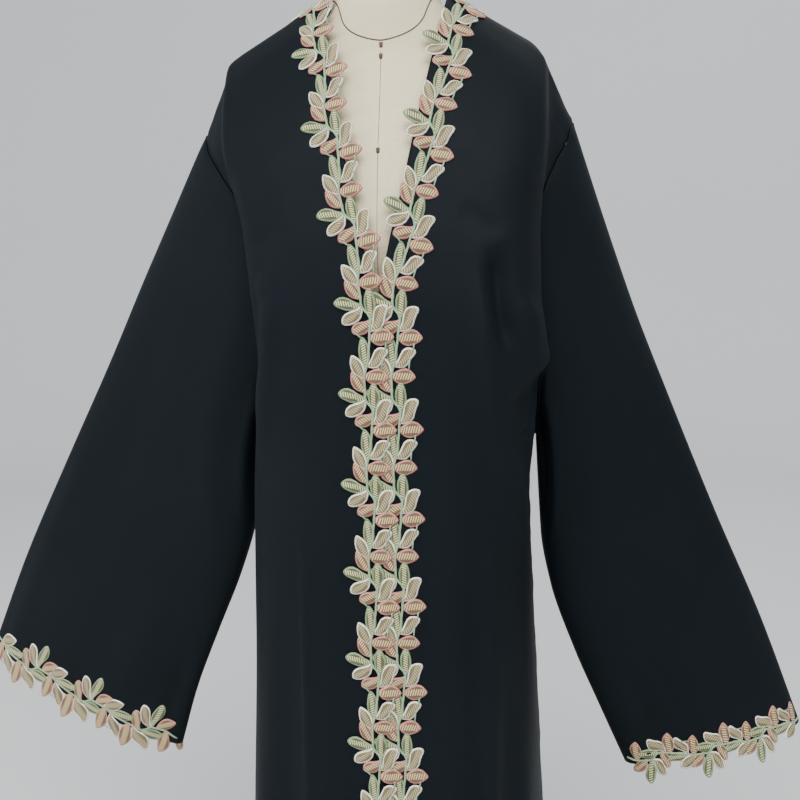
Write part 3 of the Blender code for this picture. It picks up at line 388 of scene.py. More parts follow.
# Turned pieces, from the axis to the axis: radius and height of each corner.
CAP = [(0.0, FORM_TOP), (0.047, FORM_TOP), (0.047, FORM_TOP + 0.008),
       (0.03384, FORM_TOP + 0.016), (0.0141, FORM_TOP + 0.022), (0.0, FORM_TOP + 0.022)]
BASE = [(0.0, 0.0), (0.190, 0.0), (0.190, 0.008), (0.180, 0.014),
        (0.040, BASE_HEIGHT - 0.004), (0.030, BASE_HEIGHT), (0.0, BASE_HEIGHT)]
POLE = [(0.0, POLE_FROM), (0.025, POLE_FROM), (0.025, POLE_FROM + 0.030),
        (0.016, POLE_FROM + 0.034), (0.016, POLE_TO), (0.0, POLE_TO)]
TURNED = {
    # name        outline, rounding of its corners, steps round
    "neck_cap": (CAP, 0.004, 64),
    "stand_base": (BASE, 0.003, 128),
    "stand_pole": (POLE, 0.002, 48),
}
ROUND_LIMIT = 2.1         # a rounding takes at most one part in so many of each side

# ---- the view ------------------------------------------------------------------------
CAMERA_PLACE = (0.12423, -1.01322, 1.17735)
CAMERA_TURN = math.radians(6.6)    # toward the wearer's left
CAMERA_DIP = math.radians(8.0)     # below the level
CAMERA_ROLL = math.radians(1.0)
CLIP_START = 0.05         # nothing nearer to the camera shows
CAMERA_LENS = 40.41       # millimetres, like the sensor
SENSOR = 36.0
COVE_RADIUS = 4.5         # of the floor, before it bends up into the backdrop
COVE_BEND = 1.5           # radius of the bend
COVE_HEIGHT = 5.0
COVE_STEPS = (96, 12)     # round the stage and up the bend
LIGHTS = [
    # name          place              aim              size        power
    ("stage_key",  (0.3, -2.6, 3.6),  (0.0, 0.0, 1.1), (3.2, 2.2), "key_power"),
    ("stage_fill", (-3.0, -2.0, 2.0), (0.0, 0.0, 1.0), (2.2, 2.4), "fill_power"),
    ("stage_back", (0.8, 2.2, 4.4),   (0.0, 4.0, 1.0), (3.0, 2.0), "fill_power"),
]


# ---- curves --------------------------------------------------------------------------
def smooth(x):
    """A soft step from 0 to 1."""
    x = np.clip(x, 0.0, 1.0)
    return x * x * (3.0 - 2.0 * x)


def ramp(x, half_width):
    """Zero, then a slope of one, with a parabola of the given half width between."""
    curve = (x + half_width) ** 2 / (4.0 * half_width)
    return np.where(x <= -half_width, 0.0, np.where(x >= half_width, x, curve))


def slope_between(before, after):
    """A slope for a smooth curve that never runs past its rows."""
    product = before * after
    total = np.where(product > 0.0, before + after, 1.0)
    return np.where(product > 0.0, 2.0 * product / total, 0.0)


def level(table, v):
    """Row of a table at a fractional place, smooth from row to row."""
    rows = np.asarray(table, dtype=float)
    last = len(rows) - 1
    v = min(max(v, 0.0), float(last))
    i = min(int(v), last - 1)
    t = v - i
    p1 = rows[i]
    p2 = rows[i + 1]
    step = p2 - p1
    m1 = slope_between(p1 - rows[i - 1], step) if i > 0 else step
    m2 = slope_between(step, rows[i + 2] - p2) if i + 2 <= last else step
    t2 = t * t
    t3 = t2 * t
    near = (2 * t3 - 3 * t2 + 1) * p1 + (t3 - 2 * t2 + t) * m1
    return near + (3 * t2 - 2 * t3) * p2 + (t3 - t2) * m2


def bent_line(a, b, c, knee, half_width, u):
    """Points from a by way of b to c, rounded at b, which is reached at u = knee."""
    u = np.atleast_1d(u)[:, None]
    first = (b - a) / knee
    second = (c - b) / (1.0 - knee)
    return a + first * u + (second - first) * ramp(u - knee, half_width)


def unit(vector):
    """A vector, or each of a grid of them, made one long."""
    return vector / np.linalg.norm(vector, axis=-1, keepdims=True)


def creased(table, x, z):
    """How far creases move cloth out at places x, z."""
    total = np.zeros_like(x)
    for x0, z0, x1, z1, bow, width, depth, kind in table:
        run = np.array([x1 - x0, z1 - z0])
        length = np.linalg.norm(run)
        run = run / length
        along = ((x - x0) * run[0] + (z - z0) * run[1]) / length
        aside = (x - x0) * -run[1] + (z - z0) * run[0]
        inside = np.clip(along, 0.0, 1.0)
        aside = (aside - bow * 4.0 * inside * (1.0 - inside)) / width
        fade = smooth(along / CREASE_ENDS[0]) * smooth((1.0 - along) / CREASE_ENDS[1])
        shape = np.exp(-aside ** 2)
        if kind == "lip":
            shape = np.exp(-np.where(aside > 0.0, aside / LIP[0], aside * LIP[1]) ** 2)
        total += depth * fade * shape
    return total


# ---- the surfaces of the cloth -------------------------------------------------------
def front_points(side, us, v):
    """Points of a front's row v, before it creases."""
    row = level(FRONT, v)
    spread = np.array([level(SPREAD, v)[1 if side > 0 else 0], 0.0, 0.0])
    points = bent_line(row[0:3], row[3:6] + spread, row[6:9] + spread, KNEE, row[9], us)
    return points * np.array([side, 1.0, 1.0])


def back_top(u):
    """The back's upper edge: round the neck, then along the shoulder seam."""
    across = abs(u)
    shoulder = np.array(FRONT[0])
    shoulder[[3, 6]] += SPREAD[0][1 if u > 0 else 0]
    neck = shoulder[0:3]
    if across < NECK_SHARE:
        turn = math.pi / 2.0 * across / NECK_SHARE
        middle = np.array([0.0, BACK[0][0], BACK[0][1]])
        sine, cosine = math.sin(turn), max(math.cos(turn), 0.0)
        point = np.array([neck[0] * sine ** NECK_CURVE,
                          neck[1] + (middle[1] - neck[1]) * cosine ** NECK_CURVE,
                          neck[2] + (middle[2] - neck[2]) * cosine])
    else:
        along = (across - NECK_SHARE) / (1.0 - NECK_SHARE)
        point = bent_line(neck, shoulder[3:6], shoulder[6:9], KNEE, shoulder[9], along)[0]
    point[1] += SEAM
    return point


def back_points(us, v):
    """Points of the back's row v; u runs from -1 at the wearer's right seam to 1."""
    row = level(BACK, v)
    spreads = level(SPREAD, v)
    middle = np.array([0.0, row[0], row[1]])
    points = []
    for u in np.atleast_1d(us):
        spread = np.array([spreads[3 if u > 0 else 2], 0.0, 0.0])
        knee, seam = row[2:5] + spread, row[5:8] + spread
        low = bent_line(middle, knee, seam, KNEE, row[8], abs(u))[0]
        if v < NECK_ROWS:
            low = low + (back_top(u) - low) * (1.0 - smooth(v / NECK_ROWS))
        points.append((math.copysign(low[0], u), low[1], low[2]))
    return np.array(points)


def armhole_level(turn):
    """The table place whose seam is as far down the armhole as a turn round an oval."""
    heights = [row[8] for row in FRONT[:UNDERARM + 1]]
    share = (1.0 - math.cos(2.0 * math.pi * turn)) / 2.0
    height = heights[0] + (heights[-1] - heights[0]) * share
    return float(np.interp(-height, [-z for z in heights], range(UNDERARM + 1)))


def armhole_point(side_name, turn):
    """The armhole seam, front half from the shoulder to the underarm, then back up."""
    side = 1 if side_name == "left" else -1
    if turn <= 0.5:
        return front_points(side, 1.0, armhole_level(turn))[0]
    return back_points(float(side), armhole_level(turn))[0]


def sleeve_ring(side_name, turns, armhole, along):
    """Points round a sleeve: turn 0 at the upper fold, half at the lower, by the front."""
    rows = SLEEVE[side_name]
    last = len(rows) - 1
    row = level(rows, along * last)
    over, under = row[0:3], row[3:6]
    ahead = level(rows, min(along + SLEEVE_EASE, 1.0) * last)
    behind = level(rows, max(along - SLEEVE_EASE, 0.0) * last)
    run = unit((ahead[0:3] + ahead[3:6]) - (behind[0:3] + behind[3:6]))
    forward = unit(np.cross(over - under, run))
    if forward[1] > 0.0:
        forward = -forward
    angle = (2.0 * math.pi * turns)[:, None]
    stand = np.where(turns <= 0.5, row[6], row[7])[:, None]
    middle = (over + under) / 2.0
    points = middle + (over - under) / 2.0 * np.cos(angle) + forward * stand * np.sin(angle)
    near = 1.0 - along / ARMHOLE_REACH
    if near > 0.0:
        points = points + (armhole - points) * near ** ARMHOLE_POWER
        push = UNDERARM_PUSH * (1.0 - near) ** PUSH_POWERS[0] * near ** PUSH_POWERS[1]
        points[:, 0] += math.copysign(push, over[0]) * (1.0 - np.cos(angle[:, 0])) / 2.0
    return points


def panel_rows(count):
    """Table places of a panel's rows: closer together above the underarm."""
    places = []
    for i in range(count + 1):
        share = i / count
        if share < ARMHOLE_SHARE:
            places.append(UNDERARM * share / ARMHOLE_SHARE)
        else:
            skirt = (share - ARMHOLE_SHARE) / (1.0 - ARMHOLE_SHARE)
            places.append(UNDERARM + (HEM - UNDERARM) * skirt)
    return places


def normals_of(grid, outward):
    """Unit normals of a grid of points, on the side of a point outside it."""
    down = np.gradient(grid, axis=0)
    across = np.gradient(grid, axis=1)
    normals = unit(np.cross(down, across))
    side = np.sign(np.sum(normals * outward(grid), axis=-1, keepdims=True))
    return normals * np.where(side == 0.0, 1.0, side)


def from_axis(grid):
    """Directions away from the body's upright axis, a little up."""
    return grid * np.array([1.0, 1.0, 0.0]) - np.array([0.0, NECK_CENTRE[1], -UPRIGHT])


def puckers(along, away):
    """Small waves along a seam, which die out away from it; the seam itself stays put."""
    waves = np.sin(2.0 * math.pi * along / PUCKER_LENGTH) + np.sin(along * PUCKER_DRIFT)
    near = np.clip(away / PUCKER_REACH, 0.0, 1.0)
    return PUCKER_DEPTH * waves * 4.0 * near * (1.0 - near) ** 2


def top_fade(places):
    """Creases die out next to the shoulder seam."""
    return smooth(np.array(places) / TOP_FADE)[:, None]


def front_grid(side):
    """A front's creased points; side is 1 for the wearer's left."""
    us = np.linspace(0.0, 1.0, FRONT_GRID[0] + 1)
    places = panel_rows(FRONT_GRID[1])
    grid = np.array([front_points(side, us, v) for v in places])
    normals = normals_of(grid, from_axis)
    table = CREASES["front_left" if side > 0 else "front_right"]
    depth = creased(table, grid[..., 0], grid[..., 2]) * smooth((1.0 - us) / SEAM_FADE)
    depth = depth * top_fade(places) + puckers(grid[..., 2], (1.0 - us) * SEAM_ROW)
    return grid + normals * depth[..., None]


def back_grid():
    """The back's creased points."""
    us = np.linspace(-1.0, 1.0, BACK_GRID[0] + 1)
    places = panel_rows(BACK_GRID[1])
    grid = np.array([back_points(us, v) for v in places])
    normals = normals_of(grid, from_axis)
    depth = creased(CREASES["back"], grid[..., 0], grid[..., 2])
    depth = depth * smooth((1.0 - np.abs(us)) / SEAM_FADE) * top_fade(places)
    depth = depth + puckers(grid[..., 2], (1.0 - np.abs(us)) * SEAM_ROW)
    return grid + normals * depth[..., None]


def sleeve_grid(side_name):
    """A sleeve's creased points, ring by ring from the armhole."""
    turns = np.linspace(0.0, 1.0, SLEEVE_GRID[0] + 1)
    armhole = np.array([armhole_point(side_name, turn % 1.0) for turn in turns])
    outward = np.array([math.copysign(SEAM, SLEEVE[side_name][0][0]), 0.0, 0.0])
    alongs = [(i / SLEEVE_GRID[1]) ** SLEEVE_CLOSER for i in range(SLEEVE_GRID[1] + 1)]
    rings = [sleeve_ring(side_name, turns, armhole, along) for along in alongs]
    onward = sleeve_ring(side_name, turns, armhole, NEAR)
    rings[0] = rings[0] + (unit(onward - rings[0]) * SEAM + outward) / 2.0
    grid = np.array(rings)
    middle = grid[:, :-1].mean(axis=1, keepdims=True)
    normals = normals_of(grid, lambda points: points - middle)
    round_, down = np.meshgrid(turns * SLEEVE_ROUND, np.array(alongs) * SLEEVE_DOWN)
    depth = creased(SLEEVE_CREASES[side_name], round_, down)
    depth = depth * smooth(down / SLEEVE_FADES[0]) * smooth(round_ / SLEEVE_FADES[1])
    depth = depth * smooth((SLEEVE_ROUND - round_) / SLEEVE_FADES[1])
    depth = depth + puckers(round_, down)
    return grid + normals * depth[..., None]


# ---- where the lace lies -------------------------------------------------------------
class Guide:
    """A surface to lay lace on, with a path across it."""

    def __init__(self, grids, path, outward):
        points = []
        faces = []
        for grid in grids:
            rows, columns = grid.shape[:2]
            first = len(points)
            points += [tuple(point) for point in grid.reshape(-1, 3)]
            for i in range(rows - 1):
                for j in range(columns - 1):
                    a = first + i * columns + j
                    d = a + columns
                    faces += [(a, a + 1, d + 1), (a, d + 1, d)]
        self.tree = BVHTree.FromPolygons(points, faces)
        self.outward = outward
        self.path = np.array([self.on_surface(point)[0] for point in path])
        steps = np.linalg.norm(np.diff(self.path, axis=0), axis=1)
        self.run = np.concatenate([[0.0], np.cumsum(steps)])
        self.length = self.run[-1]

    def on_surface(self, point):
        """The nearest place of the surface, and its normal."""
        place, normal, _, _ = self.tree.find_nearest(Vector(point))
        place, normal = np.array(place), np.array(normal)
        if normal.dot(self.outward(place)) < 0.0:
            normal = -normal
        return place, normal

    def at(self, along):
        """The path's point at a distance along it."""
        return np.array([np.interp(along, self.run, self.path[:, k]) for k in range(3)])

    def lay(self, along, aside, lift):
        """The point above the surface at a distance along and to the left of the path."""
        on_path = min(max(along, 0.0), self.length)
        ahead, behind = self.at(on_path + EASE), self.at(on_path - EASE)
        run = unit(ahead - behind)
        facing = self.on_surface(ahead)[1] + self.on_surface(behind)[1]
        place, normal = self.on_surface(self.at(on_path) + run * (along - on_path))
        way = unit(np.cross(facing, run)) * math.copysign(1.0, aside)
        steps = max(1, math.ceil(abs(aside) / WALK))
        for _ in range(steps):
            onward, normal = self.on_surface(place + way * abs(aside) / steps)
            way = unit(onward - place)
            place = onward
        return place + normal * lift


def neck_rise(point):
    """The way lace reaches past the back's neck edge: in and up, steeper at the back."""
    away = unit(np.array([point[0] - NECK_CENTRE[0], point[1] - NECK_CENTRE[1], 0.0]))
    steep = math.radians(NECK_SLOPE[0] + (NECK_SLOPE[1] - NECK_SLOPE[0]) * away[1] ** 2)
    return np.array([0.0, 0.0, math.sin(steep)]) - away * math.cos(steep)


def front_guide(side):
    """Both fronts, the back's neck, and a margin past the neck's cut edge."""
    places = panel_rows(FRONT_GRID[1])
    own = front_grid(side)
    other = front_grid(-side)
    meeting = [i for i, v in enumerate(places) if v >= MEETING]
    margin = []
    for i, v in enumerate(places):
        if v > MARGIN_END:
            break
        edge = own[i, 0]
        flat = unit(edge - own[i, 2])
        rise = 1.0 - smooth(v / NECK_ROWS)
        way = unit(flat * (1.0 - rise) + neck_rise(edge) * rise)
        margin.append([edge + way * MARGIN, edge])
    middle = BACK_GRID[0] // 2
    down, across = NECK_PATCH
    neck_back = back_grid()[:down, middle - across:middle + across + 1]
    rim = neck_back[0]
    collar = np.array([[point + neck_rise(point) * MARGIN for point in rim], list(rim)])
    low_inset = FRONT_INSET["left" if side > 0 else "right"]
    path = []
    for i in range(PATH_STEPS + 1):
        v = HEM * (1.0 - i / PATH_STEPS)
        edge, inner = front_points(side, np.array([0.0, NEAR]), v)
        inset = NECK_INSET + (low_inset - NECK_INSET) * smooth(v / NECK_ROWS)
        path.append(edge + unit(inner - edge) * inset)
    for i in range(1, NECK_STEPS + 1):
        edge = back_points(side * NECK_SHARE * (1.0 - i / NECK_STEPS), 0.0)[0]
        path.append(edge - neck_rise(edge) * NECK_INSET)
    grids = [own, other[meeting], np.array(margin), neck_back, collar]
    return Guide(grids, path, from_axis)


def cuff_guide(side_name):
    """The sleeve's last rings with a margin past the cuff."""
    rings = sleeve_grid(side_name)[-CUFF_ROWS:]
    onward = unit(rings[-1] - rings[-3])
    centre = rings[-1].mean(axis=0)
    flare = unit(rings[-1] - centre) * CUFF_FLARE
    margin = np.array([rings[-1], rings[-1] + unit(onward + flare) * MARGIN])
    path = list(rings[-1] - onward * CUFF_INSET)
    return Guide([rings, margin], path, lambda p: p - centre)


# ---- the leaves, flat ----------------------------------------------------------------
def stem_aside(u):
    """Sideways swing of the stem at a place along one repeat."""
    u = u % 1.0
    table = STEM_SWING + [(1.0 + STEM_SWING[0][0], STEM_SWING[0][1])]
    for (u0, r0), (u1, r1) in zip(table, table[1:]):
        if u <= u1:
            return r0 + (r1 - r0) * float(smooth((u - u0) / (u1 - u0)))
    return table[-1][1]


def leaf_outline(shape):
    """A leaf's outline round from its base: along from 0 to 1, and across from -1 to 1."""
    base, tip, belly, _ = LEAF_SHAPES[shape]
    outline = []
    for k in range(LEAF_POINTS):
        angle = 2.0 * math.pi * k / LEAF_POINTS
        along = -math.cos(angle)
        width = abs(math.sin(angle)) ** (tip if along > 0.0 else base)
        place = (along + 1.0) / 2.0
        place += belly * place * (1.0 - place) * 2.0
        outline.append((place, math.copysign(width, math.sin(angle))))
    return outline


def leaf_bend(leaf, share):
    """How far a leaf's middle line lies to one side, as a share of its length."""
    curl, sway = leaf[5], LEAF_SHAPES[leaf[6]][3]
    return curl * 4.0 * share * (1.0 - share) + sway * math.sin(2.0 * math.pi * share)


def leaf_template(leaf, long, wide):
    """One flat leaf, a fill with a raised cord round it, long and wide in metres.

    Returns points (along, across, height), and faces, each as its corners, its part and
    the pattern coordinates of its corners.
    """
    shape_mesh = bmesh.new()
    bmesh.ops.create_circle(shape_mesh, cap_ends=True, segments=LEAF_POINTS, radius=0.5)
    for vert, (along, across) in zip(shape_mesh.verts, leaf_outline(leaf[6])):
        vert.co = Vector((along * long, across * wide / 2.0, 0.0))
    shape_mesh.faces.ensure_lookup_table()
    inside = shape_mesh.faces[0]
    borders = set()
    rims = []
    for _ in range(2):
        borders |= set(bmesh.ops.inset_region(
            shape_mesh, faces=[inside], thickness=CORD_HALF, use_boundary=True,
            use_even_offset=False)["faces"])
        rims.append(list(inside.verts))
    for rim, height in zip(rims, (CORD_RISE, CORD_RISE * FILL_RISE)):
        for vert in rim:
            vert.co.z = height
    shape_mesh.verts.index_update()
    points = [tuple(vert.co) for vert in shape_mesh.verts]
    faces = []
    for face in shape_mesh.faces:
        corners = [vert.index for vert in face.verts]
        marks = [points[k] for k in corners]
        if face in borders:
            angles = [math.atan2(y / wide, x / long - 0.5) for x, y, _ in marks]
            first = angles[0]
            turned = [first + (angle - first + math.pi) % (2.0 * math.pi) - math.pi
                      for angle in angles]
            girth = long + wide * 0.6
            uvs = [(a * girth / math.pi, z) for a, (_, _, z) in zip(turned, marks)]
            faces.append((corners, "cord", uvs))
        else:
            faces.append((corners, "fill", [(x, y / wide) for x, y, _ in marks]))
    shape_mesh.free()
    bent = [(x, y + leaf_bend(leaf, x / long) * long, z) for x, y, z in points]
    return bent, faces


class Lace:
    """Points and faces of lace on its guide."""

    def __init__(self, guide, from_length, repeat, lift, spread=1.0, size=1.0):
        self.guide = guide
        self.from_length = from_length
        self.repeat = repeat
        self.lift = lift
        self.spread = spread
        self.size = size
        self.points = []
        self.faces = []

    def put(self, along, aside, height):
        """Adds a point; along and aside in metres of the flat lace, and height over it."""
        here = along + self.from_length
        point = self.guide.lay(here, aside * self.spread, self.lift(here) + height)
        self.points.append(tuple(point))
        return len(self.points) - 1

    def on_leaf(self, number, leaf, x, y):
        """A leaf's point in the flat lace, from metres along and across the leaf."""
        side, base, turn = leaf[0:3]
        angle = math.radians(turn) * side
        c, s = math.cos(angle), math.sin(angle)
        y = y * side
        return ((number + base) * self.repeat + x * c - y * s,
                -stem_aside(base) * self.repeat + x * s + y * c)

    def add_leaf(self, number, leaf, layer):
        """A leaf of a repeat, so high over the ground."""
        side, _, _, long, wide, _, _, cord = leaf
        scale = self.repeat * self.size
        points, faces = leaf_template(leaf, long * scale, wide * scale)
        first = len(self.points)
        for x, y, z in points:
            self.put(*self.on_leaf(number, leaf, x, y), z + layer)
        for corners, part, uvs in faces:
            if side < 0:
                corners, uvs = corners[::-1], uvs[::-1]
            name = cord if part == "cord" else "fill_" + cord
            self.faces.append(([first + k for k in corners], name, uvs))

    def add_bride(self, number, bride):
        """A short thread from one leaf's edge to another's."""
        ends = []
        for index, along, across in (bride[0:3], bride[3:6]):
            leaf = LEAVES[index]
            long, wide = (leaf[k] * self.repeat * self.size for k in (3, 4))
            aside = across * wide / 2.0 + leaf_bend(leaf, along) * long
            ends.append(self.on_leaf(number, leaf, along * long, aside))
        self.add_tube(ends, THREAD_RADIUS, THREAD_SIDES, THREAD_RISE)

    def add_tube(self, line, radius, sides, base_height):
        """A cord along a flat line of (along, aside), so high over the lace's ground."""
        rings = []
        total = 0.0
        runs = []
        for i, here in enumerate(line):
            before, after = line[max(i - 1, 0)], line[min(i + 1, len(line) - 1)]
            way = unit(np.array(after) - np.array(before))
            ring = []
            for k in range(sides):
                angle = 2.0 * math.pi * k / sides
                out = radius * math.cos(angle)
                ring.append(self.put(here[0] - way[1] * out, here[1] + way[0] * out,
                                     base_height + radius * (1.0 + math.sin(angle))))
            rings.append(ring)
            if i > 0:
                total += float(np.linalg.norm(np.array(here) - np.array(line[i - 1])))
            runs.append(total)
        for i in range(len(rings) - 1):
            for k in range(sides):
                j = (k + 1) % sides
                corners = [rings[i][k], rings[i + 1][k], rings[i + 1][j], rings[i][j]]
                uvs = [(runs[i], k / sides), (runs[i + 1], k / sides),
                       (runs[i + 1], (k + 1) / sides), (runs[i], (k + 1) / sides)]
                self.faces.append((corners, "stem", uvs))
        for end in (rings[0], rings[-1][::-1]):
            self.faces.append((end, "stem", [(0.0, 0.0)] * sides))

    def fill(self, start, end):
        """Stem, leaves and joining threads from start to end, in repeats."""
        count = max(2, round((end - start) * STEM_STEPS))
        stations = [start + (end - start) * i / count for i in range(count + 1)]
        line = [(u * self.repeat, -stem_aside(u) * self.repeat) for u in stations]
        self.add_tube(line, STEM_RADIUS, STEM_SIDES, 0.0)
        for number in range(math.floor(start) - 1, math.ceil(end) + 1):
            for index, leaf in enumerate(LEAVES):
                _, base, turn, long = leaf[0:4]
                root = number + base
                tip = root + long * math.cos(math.radians(turn))
                if start <= min(root, tip) and max(root, tip) <= end:
                    self.add_leaf(number, leaf, LEAF_LAYERS[1] * (index % LEAF_LAYERS[0]))
            for bride in BRIDES:
                roots = [number + LEAVES[bride[k]][1] for k in (0, 3)]
                if start < min(roots) and max(roots) < end - THREAD_CLEAR:
                    self.add_bride(number, bride)

    def flat_area(self):
        """Area of the lace's leaves and threads, in square metres."""
        area = 0.0
        for corners, _, _ in self.faces:
            shape = np.array([self.points[k] for k in corners])
            middle = shape.mean(axis=0)
            for a, b in zip(shape, np.roll(shape, -1, axis=0)):
                area += float(np.linalg.norm(np.cross(a - middle, b - middle))) / 2.0
        return area


# ---- materials -----------------------------------------------------------------------
# How fine each pattern is: threads, grains or blotches a metre.
CREPE_TONES = 5.0
CREPE_CRINKLES = 95.0
CREPE_GRAINS = 1100.0
CREPE_THREADS = 1500.0
CORD_THREADS = 260.0
CORD_TONES = 160.0
NET_THREADS = 330.0
LINEN_YARNS = 310.0
LINEN_SLUBS = [(30.0, 700.0, 1.0), (700.0, 30.0, 1.0)]    # across and upright
TAPE_RIBS = 900.0
STEEL_SPOTS = 240.0
WOOD_GRAINS = (14.0, 90.0, 90.0)
WOOD_PORES = (60.0, 900.0, 900.0)
FLOOR_TONES = 0.6

# How high each relief stands.
STITCH_RISE = -0.0004
CRINKLE_RISE = 0.00045
WEAVE_RISE = 0.00010
SATIN_RISE = 0.00022
NET_RISE = 0.00030
LINEN_RISE = 0.00022
TAPE_RISE = 0.0002
STEEL_RISE = 0.00004
WOOD_RISE = 0.00005


class Nodes:
    """Builds one procedural material."""

    def __init__(self, name):
        self.material = bpy.data.materials.new(name)
        self.material.use_nodes = True
        self.tree = self.material.node_tree
        self.shader = self.tree.nodes["Principled BSDF"]

    def feed(self, socket, value):
        """Joins a socket to another, or gives it a value."""
        if isinstance(value, bpy.types.NodeSocket):
            self.tree.links.new(value, socket)
        else:
            socket.default_value = value

    def set(self, **values):
        """Inputs of the shader, by their names with underscores."""
        for key, value in values.items():
            self.feed(self.shader.inputs[key.replace("_", " ")], value)

    def node(self, kind, links, **settings):
        """A node with its inputs and settings."""
        made = self.tree.nodes.new(kind)
        for key, value in settings.items():
            setattr(made, key, value)
        for key, value in links.items():
            self.feed(made.inputs[key], value)
        return made

    def place(self, uv=False):
        """Metres in the object's frame, or along and across its pattern."""
        return self.node("ShaderNodeTexCoord", {}).outputs["UV" if uv else "Object"]

    def parts(self, vector):
        """The three parts of a vector."""
        return self.node("ShaderNodeSeparateXYZ", {0: vector}).outputs

    def math(self, operation, a, b=0.0):
        """A sum, or another operation on numbers."""
        made = self.node("ShaderNodeMath", {0: a, 1: b}, operation=operation)
        return made.outputs[0]

    def stretch(self, vector, scale):
        """A place with each of its parts scaled."""
        made = self.node("ShaderNodeMapping", {"Vector": vector, "Scale": scale})
        return made.outputs["Vector"]

    def noise(self, vector, scale, detail=2.0, rough=0.5):
        """Soft blotches, so many a metre."""
        made = self.node("ShaderNodeTexNoise", {"Vector": vector, "Scale": scale,
                                                "Detail": detail, "Roughness": rough})
        return made.outputs["Fac"]

    def wave(self, vector, scale, direction="X", distort=0.0):
        """Bands across a direction."""
        made = self.node("ShaderNodeTexWave", {"Vector": vector, "Scale": scale,
                                               "Distortion": distort, "Detail": 1.0},
                         bands_direction=direction)
        return made.outputs["Fac"]

    def ramp(self, factor, stops):
        """A colour between stops, each a place and its colour."""
        made = self.node("ShaderNodeValToRGB", {"Fac": factor})
        for element, (place, colour) in zip(made.color_ramp.elements, stops):
            element.position = place
            element.color = (*colour, 1.0)
        return made.outputs["Color"]

    def mix(self, factor, a, b):
        """From colour a to colour b."""
        ends = {index: value if isinstance(value, bpy.types.NodeSocket) else (*value, 1.0)
                for index, value in ((6, a), (7, b))}
        return self.node("ShaderNodeMix", {0: factor, **ends}, data_type="RGBA").outputs[2]

    def bump(self, height, distance, strength=1.0, under=None):
        """A relief so many metres high, over another when there is one under it."""
        links = {"Height": height, "Distance": distance, "Strength": strength}
        if under is not None:
            links["Normal"] = under
        return self.node("ShaderNodeBump", links).outputs["Normal"]


def shade(colour, share):
    """A darker or lighter colour."""
    return tuple(min(1.0, channel * share) for channel in colour)


def crepe_material(look):
    """Near-black crepe: a pebbled fine weave with a soft sheen."""
    nodes = Nodes("abaya_crepe")
    place = nodes.place()
    broad = nodes.noise(place, CREPE_TONES, 3.0)
    grain = nodes.noise(nodes.stretch(place, (1.0, 1.0, 0.7)), CREPE_GRAINS, 2.0, 0.6)
    threads = nodes.noise(nodes.stretch(place, (1.0, 1.0, 0.12)), CREPE_THREADS, 1.0)
    base = nodes.ramp(broad, [(0.30, shade(look.crepe_colour, 0.86)),
                              (0.70, shade(look.crepe_colour, 1.14))])
    colour = nodes.mix(nodes.math("MULTIPLY", grain, 0.5), base,
                       shade(look.crepe_colour, 1.5))
    across, up, _ = nodes.parts(nodes.place(uv=True))
    off = nodes.math("ABSOLUTE", nodes.math("SUBTRACT", up, look.hem_turn))
    line = nodes.math("LESS_THAN", off, look.stitch * STITCH_HALF)
    dash = nodes.math("LESS_THAN", nodes.math("PINGPONG", across, look.stitch),
                      look.stitch * STITCH_SHARE)
    sewn = nodes.bump(nodes.math("MULTIPLY", line, dash), STITCH_RISE)
    crinkle = nodes.bump(nodes.noise(place, CREPE_CRINKLES, 3.0, 0.55), CRINKLE_RISE, 1.0,
                         sewn)
    weave = nodes.bump(nodes.math("ADD", grain, threads), WEAVE_RISE, 1.0, crinkle)
    nodes.set(Base_Color=colour, Roughness=look.crepe_roughness, Normal=weave,
              Specular_IOR_Level=0.06, Sheen_Weight=look.crepe_sheen, Sheen_Roughness=0.42,
              Sheen_Tint=(0.70, 0.80, 1.0, 1.0))
    return nodes.material


def cord_material(name, colour):
    """Satin-stitched cord: fine threads laid across its run."""
    nodes = Nodes("lace_" + name)
    uv = nodes.place(uv=True)
    threads = nodes.wave(uv, CORD_THREADS, "X", 1.2)
    tone = nodes.noise(nodes.place(), CORD_TONES)
    pale = shade(colour, 1.12)
    worn = nodes.ramp(tone, [(0.30, shade(colour, 0.74)), (0.70, pale)])
    base = nodes.mix(nodes.math("MULTIPLY", threads, 0.45), worn, pale)
    nodes.set(Base_Color=base, Roughness=0.52, Sheen_Weight=0.08, Sheen_Roughness=0.4,
              Normal=nodes.bump(threads, SATIN_RISE, 0.8), Specular_IOR_Level=0.30)
    return nodes.material


def fill_material(name, net_colour, ladder_colour):
    """Open net of fine thread with a band of ladder stitches up the middle of a leaf."""
    nodes = Nodes("lace_fill_" + name)
    along, across, _ = nodes.parts(nodes.place(uv=True))
    net = nodes.wave(nodes.place(), NET_THREADS, "DIAGONAL", 6.0)
    ground = nodes.ramp(net, [(0.25, shade(net_colour, 0.50)), (0.75, net_colour)])
    period, width, slant = RUNG
    slanted = nodes.math("ADD", along, nodes.math("MULTIPLY", across, slant))
    rung = nodes.math("LESS_THAN", nodes.math("PINGPONG", slanted, period), width)
    middle = nodes.math("LESS_THAN", nodes.math("ABSOLUTE", across), LADDER_HALF)
    stitched = nodes.math("MULTIPLY", rung, middle)
    colour = nodes.mix(stitched, ground, ladder_colour)
    height = nodes.math("ADD", nodes.math("MULTIPLY", net, 0.5), stitched)
    nodes.set(Base_Color=colour, Roughness=0.75, Sheen_Weight=0.2,
              Normal=nodes.bump(height, NET_RISE, 0.8))
    return nodes.material


